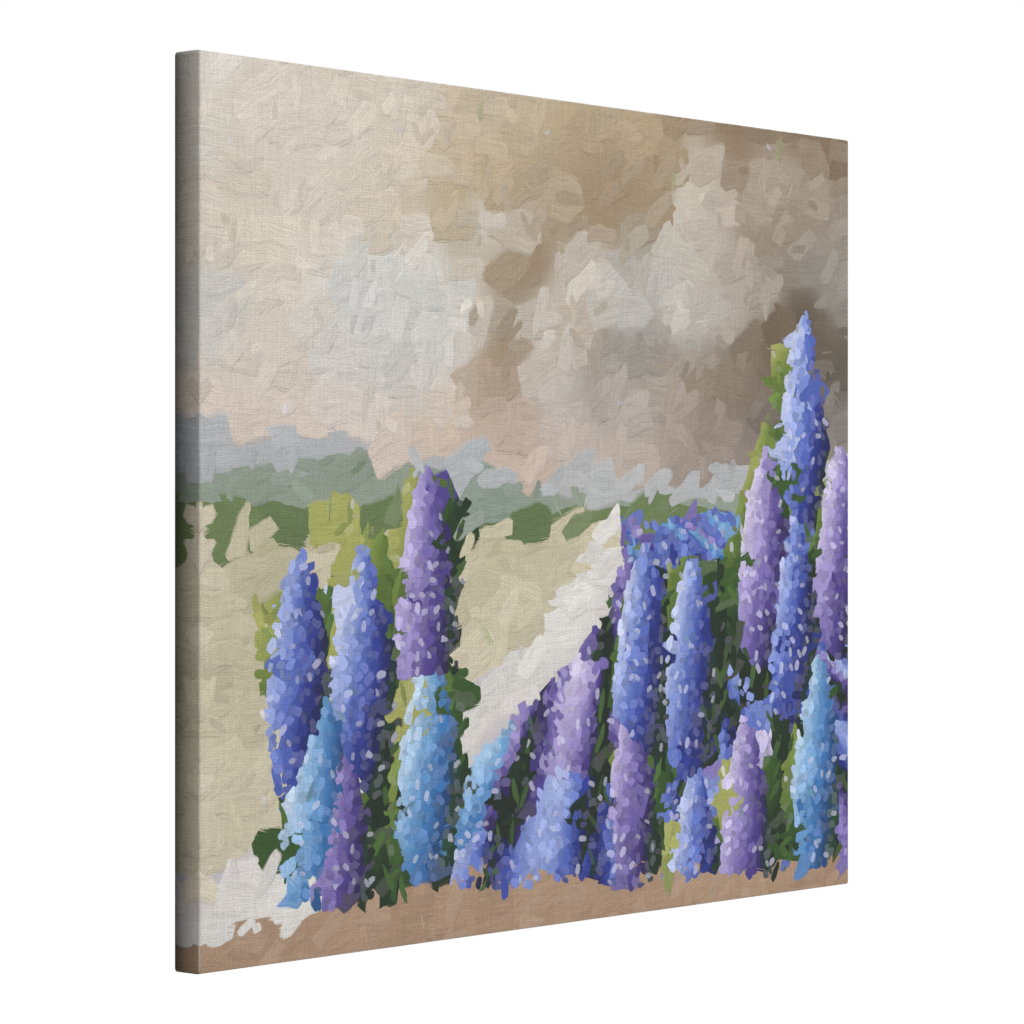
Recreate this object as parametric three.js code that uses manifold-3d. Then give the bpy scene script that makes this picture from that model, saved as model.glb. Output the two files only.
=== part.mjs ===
// A stretched canvas picture, 600 x 500 x 20 mm, ready to hang: a printed cotton sheet wrapped over four pine
// stretcher bars, stapled at the back, keyed at the corners and hung by a sawtooth plate.
// Millimetres. +X runs to the viewer's right, +Z up and +Y into the wall, so the picture faces -Y.
// The origin is the hanger's middle notch, where the wall nail carries it, and y = 0 is the wall's face.
import * as THREE from "three";
import { mergeVertices } from "three/addons/utils/BufferGeometryUtils.js";
import Module from "manifold-3d";

const wasm = await Module();
wasm.setup();

// The whole picture
const WIDTH = 600;
const HEIGHT = 500;
const DEPTH = 20; // canvas front to canvas back
const HANG_DROP = 30; // top edge down to the hanger's notch
const WALL_GAP = 2.8; // back of the canvas to the wall
const GAP = 0.3; // clearance between neighbouring pieces

// Canvas
const CLOTH = 0.6; // thickness with its coating
const EDGE_RADIUS = 1.6; // where it turns over the bars' outer edges
const CORNER_RADIUS = 2.4; // where it turns round the frame's corners
const FLAP = 22; // how far it reaches over the back
const FOLD = 21; // side of the folded corner on the back
const FOLD_RISE = 0.5; // the pleat under it lifts the corner by this
const BEND_STEPS = 4;

// Stretcher bars
const BAR_WIDTH = 40;
const BAR_FALL = 3.5; // the bar's front falls away from the canvas by this at its inner edge
const BAR_RIM = 7; // flat rim along the outer edge that carries the canvas
const BAR_ARRIS = 1.2; // the rim's chamfered edge
const CHEEK = 5; // wood behind and before the corner's tongues

// Corner keys
const KEY_PROUD = 14; // how far a key stands out of the joint
const KEY_INSET = 10; // its point's distance from the frame's outer edge
const KEY_POINT = 2; // width at its point
const KEY_HEAD = 9; // width at its head

// Staples
const STAPLE_CROWN = 10;
const STAPLE_WIRE = 0.55; // thickness of the flattened wire
const STAPLE_BAND = 1.2; // width of the flattened wire
const STAPLE_SHOULDER = 0.3; // the crown's bevelled ends
const STAPLE_BITE = 6; // how far a leg enters the wood
const STAPLE_INSET = 12; // staple line's distance from the outer edge
const STAPLE_SKEW = 0.09; // radians, the largest slant of a staple
const SKEW_STEP = 2.4; // radians, from one staple's slant to the next one's along a sine
const LONG_ROW = { count: 12, first: 28 }; // staples in a row, and the first one's distance from the corner
const SHORT_ROW = { count: 8, first: 64 };

// Hanger, its pins and the wall pads
const HANGER_LENGTH = 45;
const HANGER_TALL = 8;
const HANGER_TAB = 9; // flat tab at each end
const HANGER_RAMP = 2.6; // run of the step between a tab and the raised middle
const HANGER_SHEET = 0.8;
const TOOTH_PITCH = 3;
const TOOTH_DEPTH = 1.5;
const TOOTH_COUNT = 9;
const PIN_RADIUS = 0.7;
const PIN_HEAD_RADIUS = 1.9;
const PIN_HEAD = 0.8; // thickness of the head
const PIN_BITE = 10;
const PIN_Z = 4; // above the notch
const PAD_RADIUS = 6;
const PAD_X = 235;
const ROUND_SIDES = 20;

// Worked out from them
const HALF_WIDTH = WIDTH / 2;
const TOP = HANG_DROP;
const BOTTOM = HANG_DROP - HEIGHT;
const BACK = -WALL_GAP;
const LINING = CLOTH + GAP; // canvas and clearance round the wood
const WOOD_BACK = BACK - LINING;
const WOOD_DEPTH = DEPTH - 2 * LINING;
const LONG_BAR = WIDTH - 2 * LINING;
const SHORT_BAR = HEIGHT - 2 * LINING;
const PIN_X = HANGER_LENGTH / 2 - HANGER_TAB / 2;
const OVER = 6; // how far a cutting shape runs past what it cuts

// The depths, from the bar's back, of the tongues that fill a corner and of the slots that take them. The
// long bars' tongues lie behind the short bars' ones.
const MIDDLE = WOOD_DEPTH / 2;
const LONG_ENDS = {
  tongue: [CHEEK + GAP / 2, MIDDLE - GAP / 2],
  slot: [MIDDLE - GAP / 2, WOOD_DEPTH - CHEEK + GAP / 2],
};
const SHORT_ENDS = {
  tongue: [MIDDLE + GAP / 2, WOOD_DEPTH - CHEEK - GAP / 2],
  slot: [CHEEK - GAP / 2, MIDDLE + GAP / 2],
};

// A bar is worked in its own frame: x across its width from the outer edge, y from its back to its front and
// z along its length. Each side of the picture gives where that frame lies, and which kind of bar it takes.
const LONG = { length: LONG_BAR, ends: LONG_ENDS, row: LONG_ROW };
const SHORT = { length: SHORT_BAR, ends: SHORT_ENDS, row: SHORT_ROW };
const SIDES = {
  top: { ...LONG, across: [0, 0, -1], along: [-1, 0, 0], corner: [1, 1] },
  bottom: { ...LONG, across: [0, 0, 1], along: [1, 0, 0], corner: [-1, 0] },
  left: { ...SHORT, across: [1, 0, 0], along: [0, 0, -1], corner: [-1, 1] },
  right: { ...SHORT, across: [-1, 0, 0], along: [0, 0, 1], corner: [1, 0] },
};

const X = new THREE.Vector3(1, 0, 0);
const Y = new THREE.Vector3(0, 1, 0);
const Z = new THREE.Vector3(0, 0, 1);
const LENGTH_AND_WIDTH = [Z, X, Y]; // outline points are [along, across] and it is extruded towards the front
const WIDTH_AND_DEPTH = [X, Y, Z]; // outline points are [across, depth] and it is extruded along the bar
const LENGTH_AND_DEPTH = [Z, Y, X.clone().negate()]; // outline points are [along, depth], extruded across

const finish = {
  canvas: new THREE.MeshStandardMaterial({ color: 0xc9bfae, roughness: 0.85, metalness: 0 }),
  pine: new THREE.MeshStandardMaterial({ color: 0xdcb987, roughness: 0.7, metalness: 0 }),
  beech: new THREE.MeshStandardMaterial({ color: 0xd2a56c, roughness: 0.7, metalness: 0 }),
  steel: new THREE.MeshStandardMaterial({ color: 0xb8babd, roughness: 0.35, metalness: 1 }),
  brass: new THREE.MeshStandardMaterial({ color: 0xc79a4b, roughness: 0.35, metalness: 1 }),
  felt: new THREE.MeshStandardMaterial({ color: 0x4a4643, roughness: 1, metalness: 0 }),
};

// A closed geometry as a solid that can be joined and cut.
function solid(geometry) {
  const bare = geometry.index ? geometry.toNonIndexed() : geometry.clone();
  bare.deleteAttribute("normal");
  bare.deleteAttribute("uv");
  const merged = mergeVertices(bare, 1e-4);
  const vertProperties = merged.attributes.position.array;
  const triVerts = new Uint32Array(merged.index.array);
  return new wasm.Manifold(new wasm.Mesh({ numProp: 3, vertProperties, triVerts }));
}

// A solid as a named mesh.
function piece(name, made, material) {
  const { numProp, vertProperties, triVerts } = made.getMesh();
  const geometry = new THREE.BufferGeometry();
  geometry.setAttribute("position", new THREE.BufferAttribute(new Float32Array(vertProperties), numProp));
  geometry.setIndex(new THREE.BufferAttribute(new Uint32Array(triVerts), 1));
  geometry.computeVertexNormals();
  const mesh = new THREE.Mesh(geometry, material);
  mesh.name = name;
  return mesh;
}

// A solid less every one of the others.
function less(made, others) {
  return others.reduce((rest, other) => rest.subtract(other), made);
}

// A box between two corners.
function block([x0, y0, z0], [x1, y1, z1]) {
  const box = new THREE.BoxGeometry(x1 - x0, y1 - y0, z1 - z0);
  return box.translate((x0 + x1) / 2, (y0 + y1) / 2, (z0 + z1) / 2);
}

// An outline extruded from low to high, laid along three directions.
function prism(points, [low, high], directions) {
  const shape = new THREE.Shape(points.map(([a, b]) => new THREE.Vector2(a, b)));
  const geometry = new THREE.ExtrudeGeometry(shape, { depth: high - low, bevelEnabled: false });
  return geometry.translate(0, 0, low).applyMatrix4(new THREE.Matrix4().makeBasis(...directions));
}

// A round rod along Y between two depths, over a place on the back.
function rod(radius, low, high, x, z) {
  const cylinder = new THREE.CylinderGeometry(radius, radius, high - low, ROUND_SIDES);
  return solid(cylinder.translate(x, (low + high) / 2, z));
}

// The matrix from a bar's own frame to the picture's.
function placing({ across, along, corner: [side, top] }) {
  const toFront = Y.clone().negate();
  const z = top ? TOP - LINING : BOTTOM + LINING;
  return new THREE.Matrix4()
    .makeBasis(new THREE.Vector3(...across), toFront, new THREE.Vector3(...along))
    .setPosition(side * (HALF_WIDTH - LINING), WOOD_BACK, z).elements;
}

// The two ends of a bar, each as the function that takes a distance from that end to one along the bar.
function endsOf(length) {
  return [(distance) => distance, (distance) => length - distance];
}

// The frame's outline, set in from the canvas's outer face, with its round corners.
function outline(inset) {
  const radius = CORNER_RADIUS - inset;
  const [x, z] = [HALF_WIDTH - inset - radius, HEIGHT / 2 - inset - radius];
  const shape = new THREE.Shape();
  shape.absarc(x, z, radius, 0, Math.PI / 2);
  shape.absarc(-x, z, radius, Math.PI / 2, Math.PI);
  shape.absarc(-x, -z, radius, Math.PI, 1.5 * Math.PI);
  shape.absarc(x, -z, radius, 1.5 * Math.PI, 2 * Math.PI);
  return shape;
}

// A plate of the frame's outline. With a radius its front and back edges are rounded by it.
function plate(inset, radius) {
  const made = new THREE.ExtrudeGeometry(outline(inset + radius), {
    depth: DEPTH - 2 * inset - 2 * radius,
    curveSegments: BEND_STEPS,
    bevelEnabled: radius > 0,
    bevelThickness: radius,
    bevelSize: radius,
    bevelSegments: BEND_STEPS,
  });
  return solid(made.rotateX(Math.PI / 2).translate(0, BACK - inset - radius, (TOP + BOTTOM) / 2));
}

// Where a side's staples sit: the distance along the bar and the slant.
function staplePlaces({ length, row: { count, first } }) {
  const step = (length - 2 * first) / (count - 1);
  const slant = (i) => STAPLE_SKEW * Math.sin(SKEW_STEP * i + count);
  return Array.from({ length: count }, (_, i) => ({ along: first + i * step, slant: slant(i) }));
}

// A staple in its bar's frame: a crown over the canvas and two pointed legs in the wood.
function stapleShape({ along, slant }) {
  const half = STAPLE_CROWN / 2;
  const inner = half - STAPLE_WIRE;
  const under = -(LINING + GAP); // the crown's underside, over the back of the canvas
  const crown = under - STAPLE_WIRE;
  const rightSide = [
    [half - STAPLE_SHOULDER, crown],
    [half, crown + STAPLE_SHOULDER],
    [half, STAPLE_BITE - STAPLE_WIRE],
    [inner, STAPLE_BITE],
    [inner, under],
  ];
  const leftSide = rightSide.map(([x, y]) => [-x, y]).reverse();
  const made = prism([...rightSide, ...leftSide], [-STAPLE_BAND / 2, STAPLE_BAND / 2], LENGTH_AND_DEPTH);
  return solid(made.rotateY(slant).translate(STAPLE_INSET, 0, along));
}

// The clearance holes for a staple's legs, through the canvas and into the wood.
function stapleHoles({ along, slant }) {
  const across = STAPLE_BAND / 2 + GAP;
  const reach = STAPLE_WIRE / 2 + GAP;
  return [-1, 1].map((side) => {
    const at = side * (STAPLE_CROWN - STAPLE_WIRE) / 2;
    const hole = block([-across, -OVER, at - reach], [across, STAPLE_BITE + GAP, at + reach]);
    return solid(hole.rotateY(slant).translate(STAPLE_INSET, 0, along));
  });
}

// A corner key's outline in the frame of the bar whose slot holds it: a wedge lying along the other bar's
// inner edge. Grown by a clearance it is the pocket that the key sits in.
function keyOutline(grow = 0) {
  const straight = BAR_WIDTH + GAP;
  const point = KEY_INSET - grow;
  const head = BAR_WIDTH + KEY_PROUD + grow;
  return [
    [straight - 2 * grow, point],
    [straight + KEY_POINT + grow, point],
    [straight + KEY_HEAD + grow, head],
    [straight - 2 * grow, head],
  ];
}

// A stretcher bar in its own frame: a bevelled section, mitred at the back and front of its ends, with a
// tongue that fills the corner at one depth, a slot at the other and a tapered pocket beside it for the key.
function stretcherBar({ length, ends: { tongue, slot } }, places) {
  const section = [
    [0, 0],
    [BAR_WIDTH, 0],
    [BAR_WIDTH, WOOD_DEPTH - BAR_FALL],
    [BAR_RIM, WOOD_DEPTH],
    [BAR_ARRIS, WOOD_DEPTH],
    [0, WOOD_DEPTH - BAR_ARRIS],
  ];
  const mitreGap = GAP / Math.SQRT2;
  const pastMitre = [
    [-OVER, -OVER],
    [mitreGap - OVER, -OVER],
    [mitreGap + BAR_WIDTH + OVER, BAR_WIDTH + OVER],
    [-OVER, BAR_WIDTH + OVER],
  ];
  const corner = [
    [-OVER, -OVER],
    [BAR_WIDTH + GAP, -OVER],
    [BAR_WIDTH + GAP, BAR_WIDTH + OVER],
    [-OVER, BAR_WIDTH + OVER],
  ];
  const cuts = [
    [pastMitre, [-OVER, Math.min(tongue[0], slot[0])]],
    [pastMitre, [Math.max(tongue[1], slot[1]), WOOD_DEPTH + OVER]],
    [corner, slot],
    [keyOutline(GAP), slot],
  ];
  const endCuts = endsOf(length).flatMap((fromEnd) =>
    cuts.map(([points, depths]) => {
      const placed = points.map(([distance, across]) => [fromEnd(distance), across]);
      return solid(prism(placed, depths, LENGTH_AND_WIDTH));
    }),
  );
  const blank = solid(prism(section, [0, length], WIDTH_AND_DEPTH));
  return less(blank, [...endCuts, ...places.flatMap(stapleHoles)]);
}

// The clearance holes for the hanger's two pins.
function pinHoles() {
  return [-PIN_X, PIN_X].map((x) => rod(PIN_RADIUS + GAP, WOOD_BACK - PIN_BITE - GAP, OVER, x, PIN_Z));
}

// The four bars, rounded at the frame's corners.
function makeBars() {
  const rounded = plate(LINING, 0);
  return Object.entries(SIDES).map(([name, side]) => {
    const bar = stretcherBar(side, staplePlaces(side)).transform(placing(side)).intersect(rounded);
    return piece(`bar_${name}`, less(bar, name === "top" ? pinHoles() : []), finish.pine);
  });
}

// Two keys in each corner, one in each bar's slot.
function makeKeys() {
  return Object.entries(SIDES).flatMap(([name, side]) => {
    const [low, high] = side.ends.slot;
    return endsOf(side.length).map((fromEnd, i) => {
      const points = keyOutline().map(([distance, across]) => [fromEnd(distance), across]);
      const key = solid(prism(points, [low + GAP, high - GAP], LENGTH_AND_WIDTH)).transform(placing(side));
      return piece(`key_${name}_${i + 1}`, key, finish.beech);
    });
  });
}

// The folded corners, a raised triangle at each end of the long sides' flaps.
function foldedCorners() {
  const fold = [
    [GAP, CORNER_RADIUS],
    [FOLD, CORNER_RADIUS],
    [FOLD, FOLD],
  ];
  return [SIDES.top, SIDES.bottom].flatMap((side) =>
    endsOf(side.length).map((fromEnd) => {
      const points = fold.map(([distance, across]) => [fromEnd(distance), across]);
      const depths = [-LINING - FOLD_RISE, -LINING + CLOTH / 2];
      return solid(prism(points, depths, LENGTH_AND_WIDTH)).transform(placing(side));
    }),
  );
}

// The canvas: one sheet over the front and sides, turned over the back and open there inside its flaps.
function makeCanvas() {
  const shell = plate(0, EDGE_RADIUS).subtract(plate(CLOTH, EDGE_RADIUS - CLOTH));
  const folded = foldedCorners().reduce((sheet, fold) => sheet.add(fold), shell);
  const across = HALF_WIDTH - FLAP;
  const open = solid(block([-across, BACK - 2 * CLOTH, BOTTOM + FLAP], [across, OVER, TOP - FLAP]));
  const holes = Object.values(SIDES).flatMap((side) =>
    staplePlaces(side)
      .flatMap(stapleHoles)
      .map((hole) => hole.transform(placing(side))),
  );
  return piece("canvas", less(folded, [open, ...holes]), finish.canvas);
}

// The staples, numbered along each bar.
function makeStaples() {
  return Object.entries(SIDES).flatMap(([name, side]) =>
    staplePlaces(side).map((place, i) =>
      piece(`staple_${name}_${i + 1}`, stapleShape(place).transform(placing(side)), finish.steel),
    ),
  );
}

// The sawtooth hanger: a steel strip with flat tabs on the wood and a raised middle whose lower edge is
// toothed. The wall nail's head goes between the raised middle and the wood.
function makeHanger() {
  const tabFace = WOOD_BACK + GAP;
  const half = HANGER_LENGTH / 2;
  const tabEnd = half - HANGER_TAB;
  const rampTop = tabEnd - HANGER_RAMP;
  const bend = HANGER_SHEET / 2;
  const rightSide = [
    [rampTop, -HANGER_SHEET],
    [tabEnd, tabFace],
    [half, tabFace],
    [half, tabFace + HANGER_SHEET],
    [tabEnd + bend, tabFace + HANGER_SHEET],
    [rampTop + bend, 0],
  ];
  const leftSide = rightSide.map(([x, y]) => [-x, y]).reverse();
  const strip = prism([...rightSide, ...leftSide], [-TOOTH_DEPTH, HANGER_TALL - TOOTH_DEPTH], [X, Y, Z]);
  const notches = Array.from({ length: TOOTH_COUNT }, (_, i) => {
    const x = (i - (TOOTH_COUNT - 1) / 2) * TOOTH_PITCH;
    const notch = [
      [x - TOOTH_PITCH / 2, -TOOTH_DEPTH],
      [x + TOOTH_PITCH / 2, -TOOTH_DEPTH],
      [x, 0],
    ];
    return solid(prism(notch, [-OVER, OVER], [X, Z, Y.clone().negate()]));
  });
  return piece("hanger", less(solid(strip), [...notches, ...pinHoles()]), finish.steel);
}

// The two pins that hold the hanger: a flat round head and a shank in the wood.
function makePins() {
  const under = WOOD_BACK + GAP + HANGER_SHEET + GAP;
  const places = { left: -PIN_X, right: PIN_X };
  return Object.entries(places).map(([name, x]) => {
    const head = rod(PIN_HEAD_RADIUS, under, under + PIN_HEAD, x, PIN_Z);
    const shank = rod(PIN_RADIUS, WOOD_BACK - PIN_BITE, under + PIN_HEAD / 2, x, PIN_Z);
    return piece(`pin_${name}`, head.add(shank), finish.brass);
  });
}

// Two felt pads on the bottom bar's bare wood, which keep the picture parallel to the wall.
function makePads() {
  const z = BOTTOM + (FLAP + LINING + BAR_WIDTH) / 2;
  const places = { left: -PAD_X, right: PAD_X };
  return Object.entries(places).map(([name, x]) =>
    piece(`pad_${name}`, rod(PAD_RADIUS, WOOD_BACK + GAP, 0, x, z), finish.felt),
  );
}

const picture = new THREE.Group();
picture.add(makeCanvas(), ...makeBars(), ...makeKeys(), ...makeStaples());
picture.add(makeHanger(), ...makePins(), ...makePads());

export default picture;
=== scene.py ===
"""The looks of a stretched canvas picture: printed cotton canvas wrapped round a keyed pine frame, stapled at
the back and hung by a sawtooth plate. Lengths are in metres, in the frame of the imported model: +X runs to the
viewer's right, +Z up, and the picture faces -Y. Sizes written in millimetres are multiplied by MM."""

import logging
import math
from abc import ABC, abstractmethod
from dataclasses import dataclass
from enum import Enum

import bmesh
import bpy
import numpy as np
from bpy.types import ID, Material, NodeSocket, NodeTree, Object
from mathutils import Euler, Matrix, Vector


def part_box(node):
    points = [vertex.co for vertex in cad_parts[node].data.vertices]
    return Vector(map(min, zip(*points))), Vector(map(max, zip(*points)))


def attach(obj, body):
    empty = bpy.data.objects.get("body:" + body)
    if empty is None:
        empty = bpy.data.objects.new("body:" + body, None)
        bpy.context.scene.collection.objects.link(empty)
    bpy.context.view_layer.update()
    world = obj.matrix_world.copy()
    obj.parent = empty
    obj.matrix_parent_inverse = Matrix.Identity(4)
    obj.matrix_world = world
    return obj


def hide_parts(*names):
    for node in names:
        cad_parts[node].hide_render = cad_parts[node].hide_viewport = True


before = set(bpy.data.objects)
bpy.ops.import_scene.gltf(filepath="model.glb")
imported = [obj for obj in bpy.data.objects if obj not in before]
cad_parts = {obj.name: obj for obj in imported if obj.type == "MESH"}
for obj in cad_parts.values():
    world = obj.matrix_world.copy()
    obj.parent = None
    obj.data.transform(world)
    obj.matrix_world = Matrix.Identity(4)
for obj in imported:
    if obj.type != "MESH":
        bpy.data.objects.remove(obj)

log = logging.getLogger("stretched canvas picture")

MM = 0.001
BODY = "root"
SHEET_UV = "cloth"
THREADS = 1.5  # millimetres between the canvas's threads, twice the real spacing, which is too fine to show
TO_WALL = np.array([0.0, 1.0, 0.0])


def linear(code: str) -> tuple[float, float, float, float]:
    """An sRGB hex colour as linear light: a channel c is c / 12.92 where it is dark, and
    ((c + 0.055) / 1.055) ** 2.4 elsewhere.

    Args:
        code: The colour, as #rrggbb.

    Returns:
        Red, green, blue and an alpha of 1.
    """
    channels = [int(code[i : i + 2], 16) / 255 for i in (1, 3, 5)]
    return (*[c / 12.92 if c <= 0.04045 else ((c + 0.055) / 1.055) ** 2.4 for c in channels], 1.0)


# ---------------------------------------------------------------------------------------------------------
# Nodes and finishes
# ---------------------------------------------------------------------------------------------------------


@dataclass(frozen=True)
class Tree:
    """A shader's node tree, to which nodes are added."""

    nodes: NodeTree

    def value(self, given: object) -> object:
        """What a socket is given: ("ADD", a, b) is made a Math node, and a hex colour is made linear."""
        if isinstance(given, tuple) and isinstance(given[0], str):
            return self.add("Math", *given[1:], operation=given[0])
        return linear(given) if isinstance(given, str) else given

    def add(
        self,
        kind: str,
        *operands: object,
        pick: int | str | None = 0,
        inputs: dict | None = None,
        stops: tuple = (),
        **settings: object,
    ) -> object:
        """Adds a node with its settings and links. The nodes that it reads are made before it.

        Args:
            kind: The node's type, without ShaderNode.
            operands: Values or sockets for its sockets in use, in order.
            pick: Which output is returned, by its name or its place among those in use.
            inputs: Values or sockets by the names of its sockets.
            stops: A colour ramp's stops, each a place and a hex colour.
            settings: The node's own properties.

        Returns:
            The output socket, or all the outputs where pick is None.
        """
        given = [self.value(v) for v in operands]
        named = {name: self.value(v) for name, v in (inputs or {}).items()}
        node = self.nodes.nodes.new(kind if kind.startswith("NodeGroup") else f"ShaderNode{kind}")
        for name, setting in settings.items():
            setattr(node, name, setting)
        for i, (at, code) in enumerate(stops):
            elements = node.color_ramp.elements
            element = elements[i] if i < len(elements) else elements.new(at)
            element.position = at
            element.color = linear(code)
        in_use = [socket for socket in node.inputs if socket.enabled]
        for socket, v in [*zip(in_use, given), *((node.inputs[name], v) for name, v in named.items())]:
            if isinstance(v, NodeSocket):
                self.nodes.links.new(v, socket)
            elif v is not None:
                socket.default_value = v
        if pick is None:
            return node.outputs
        return node.outputs[pick] if isinstance(pick, str) else [s for s in node.outputs if s.enabled][pick]


@dataclass(frozen=True)
class Finish(ABC):
    """A surface finish, which makes one material of its own name."""

    name: str

    @abstractmethod
    def surface(self, tree: Tree) -> dict:
        """Adds the nodes of the finish.

        Args:
            tree: The material's nodes.

        Returns:
            The Principled shader's inputs, by their names.
        """

    def material(self) -> Material:
        """The finish as a Blender material, made once."""
        made = bpy.data.materials.get(self.name)
        if made is None:
            made = bpy.data.materials.new(self.name)
            made.use_nodes = True
            made.node_tree.nodes.clear()
            tree = Tree(made.node_tree)
            shader = tree.add("BsdfPrincipled", inputs=self.surface(tree))
            tree.add("OutputMaterial", shader, pick=None)
        return made


COLOURS = {"data_type": "RGBA"}  # a Mix node's setting for mixing colours
SMOOTH = {"interpolation_type": "SMOOTHSTEP"}  # a Map Range node's setting for soft steps
FLAT = {"noise_dimensions": "2D"}  # a Noise node's setting for a pattern in a plane


# ---------------------------------------------------------------------------------------------------------
# The printed picture
# ---------------------------------------------------------------------------------------------------------

# Flowers and leaves, from their shade to their light. Below SHADED the green beneath the flowers shows.
SHADED = 0.18
BLUE = ((0.0, "#0e1c15"), (0.14, "#1a3022"), (SHADED, "#161a48"), (0.36, "#2c3a8c"),
        (0.56, "#5a6fbb"), (0.76, "#97a7da"), (1.0, "#d6dbef"))
VIOLET = ((0.0, "#101e15"), (0.14, "#1e3422"), (SHADED, "#221a44"), (0.36, "#4b3d85"),
          (0.56, "#7c6eae"), (0.76, "#ac9fcf"), (1.0, "#dad2e8"))
AZURE = ((0.0, "#12271e"), (0.14, "#20402e"), (SHADED, "#1c3f70"), (0.36, "#3a72ad"),
         (0.56, "#6d9dcb"), (0.76, "#a3c3e0"), (1.0, "#d7e2ec"))
KINDS = ((0.42, VIOLET), (0.74, AZURE))  # each further kind of flower, and the draw above which it grows
LEAF = ((0.0, "#0b1710"), (0.28, "#182d19"), (0.52, "#365426"), (0.76, "#6b7f38"), (1.0, "#a3a55e"))
SKY = ((0.1, "#ded7ce"), (0.34, "#d5cabb"), (0.54, "#b9a789"), (0.76, "#8d7860"), (1.0, "#544c41"))
WAY = ((0.0, "#dedad5"), (0.4, "#d2cdc9"), (0.6, "#bcb7c0"), (0.8, "#9c95a6"))
GRASS = ((0.2, "#b0aa8c"), (0.5, "#cbc2a9"), (0.8, "#dbd0bd"))
# Each ridge: its height, swell, waves across, phase, raggedness, and its colours in shade and light.
RIDGES = (
    (0.580, 0.030, 3.4, 2.3, 0.06, "#a3abb3", "#b9b6b3"),
    (0.540, 0.020, 5.2, 0.4, 0.06, "#7e8f88", "#9aa28d"),
    (0.508, 0.012, 8.0, 1.9, 0.08, "#456041", "#7b8a58"),
)
# Each stand of spires: the middle and the half sizes of its outline.
STANDS = (
    (1.03, 0.38, 0.17, 0.34),
    (0.84, 0.20, 0.12, 0.17),
    (0.28, 0.33, 0.15, 0.25),
)


@dataclass(frozen=True)
class Place:
    """A place in the view, with broad noise that varies slowly over it."""

    point: NodeSocket
    u: NodeSocket
    v: NodeSocket
    n1: NodeSocket
    n2: NodeSocket
    n3: NodeSocket


@dataclass(frozen=True)
class Look:
    """What the view shows: its colour, and how much of the place is flowers and leaves."""

    colour: NodeSocket
    flowers: object = 0.0
    leaves: object = 0.0


@dataclass(frozen=True)
class Light:
    """How light falls on a clump of flowers or a spire."""

    right: float  # how much is lost to the right of its middle
    down: float  # and downwards
    middle: float  # the light there
    patchy: float  # the most that broad noise adds


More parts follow.
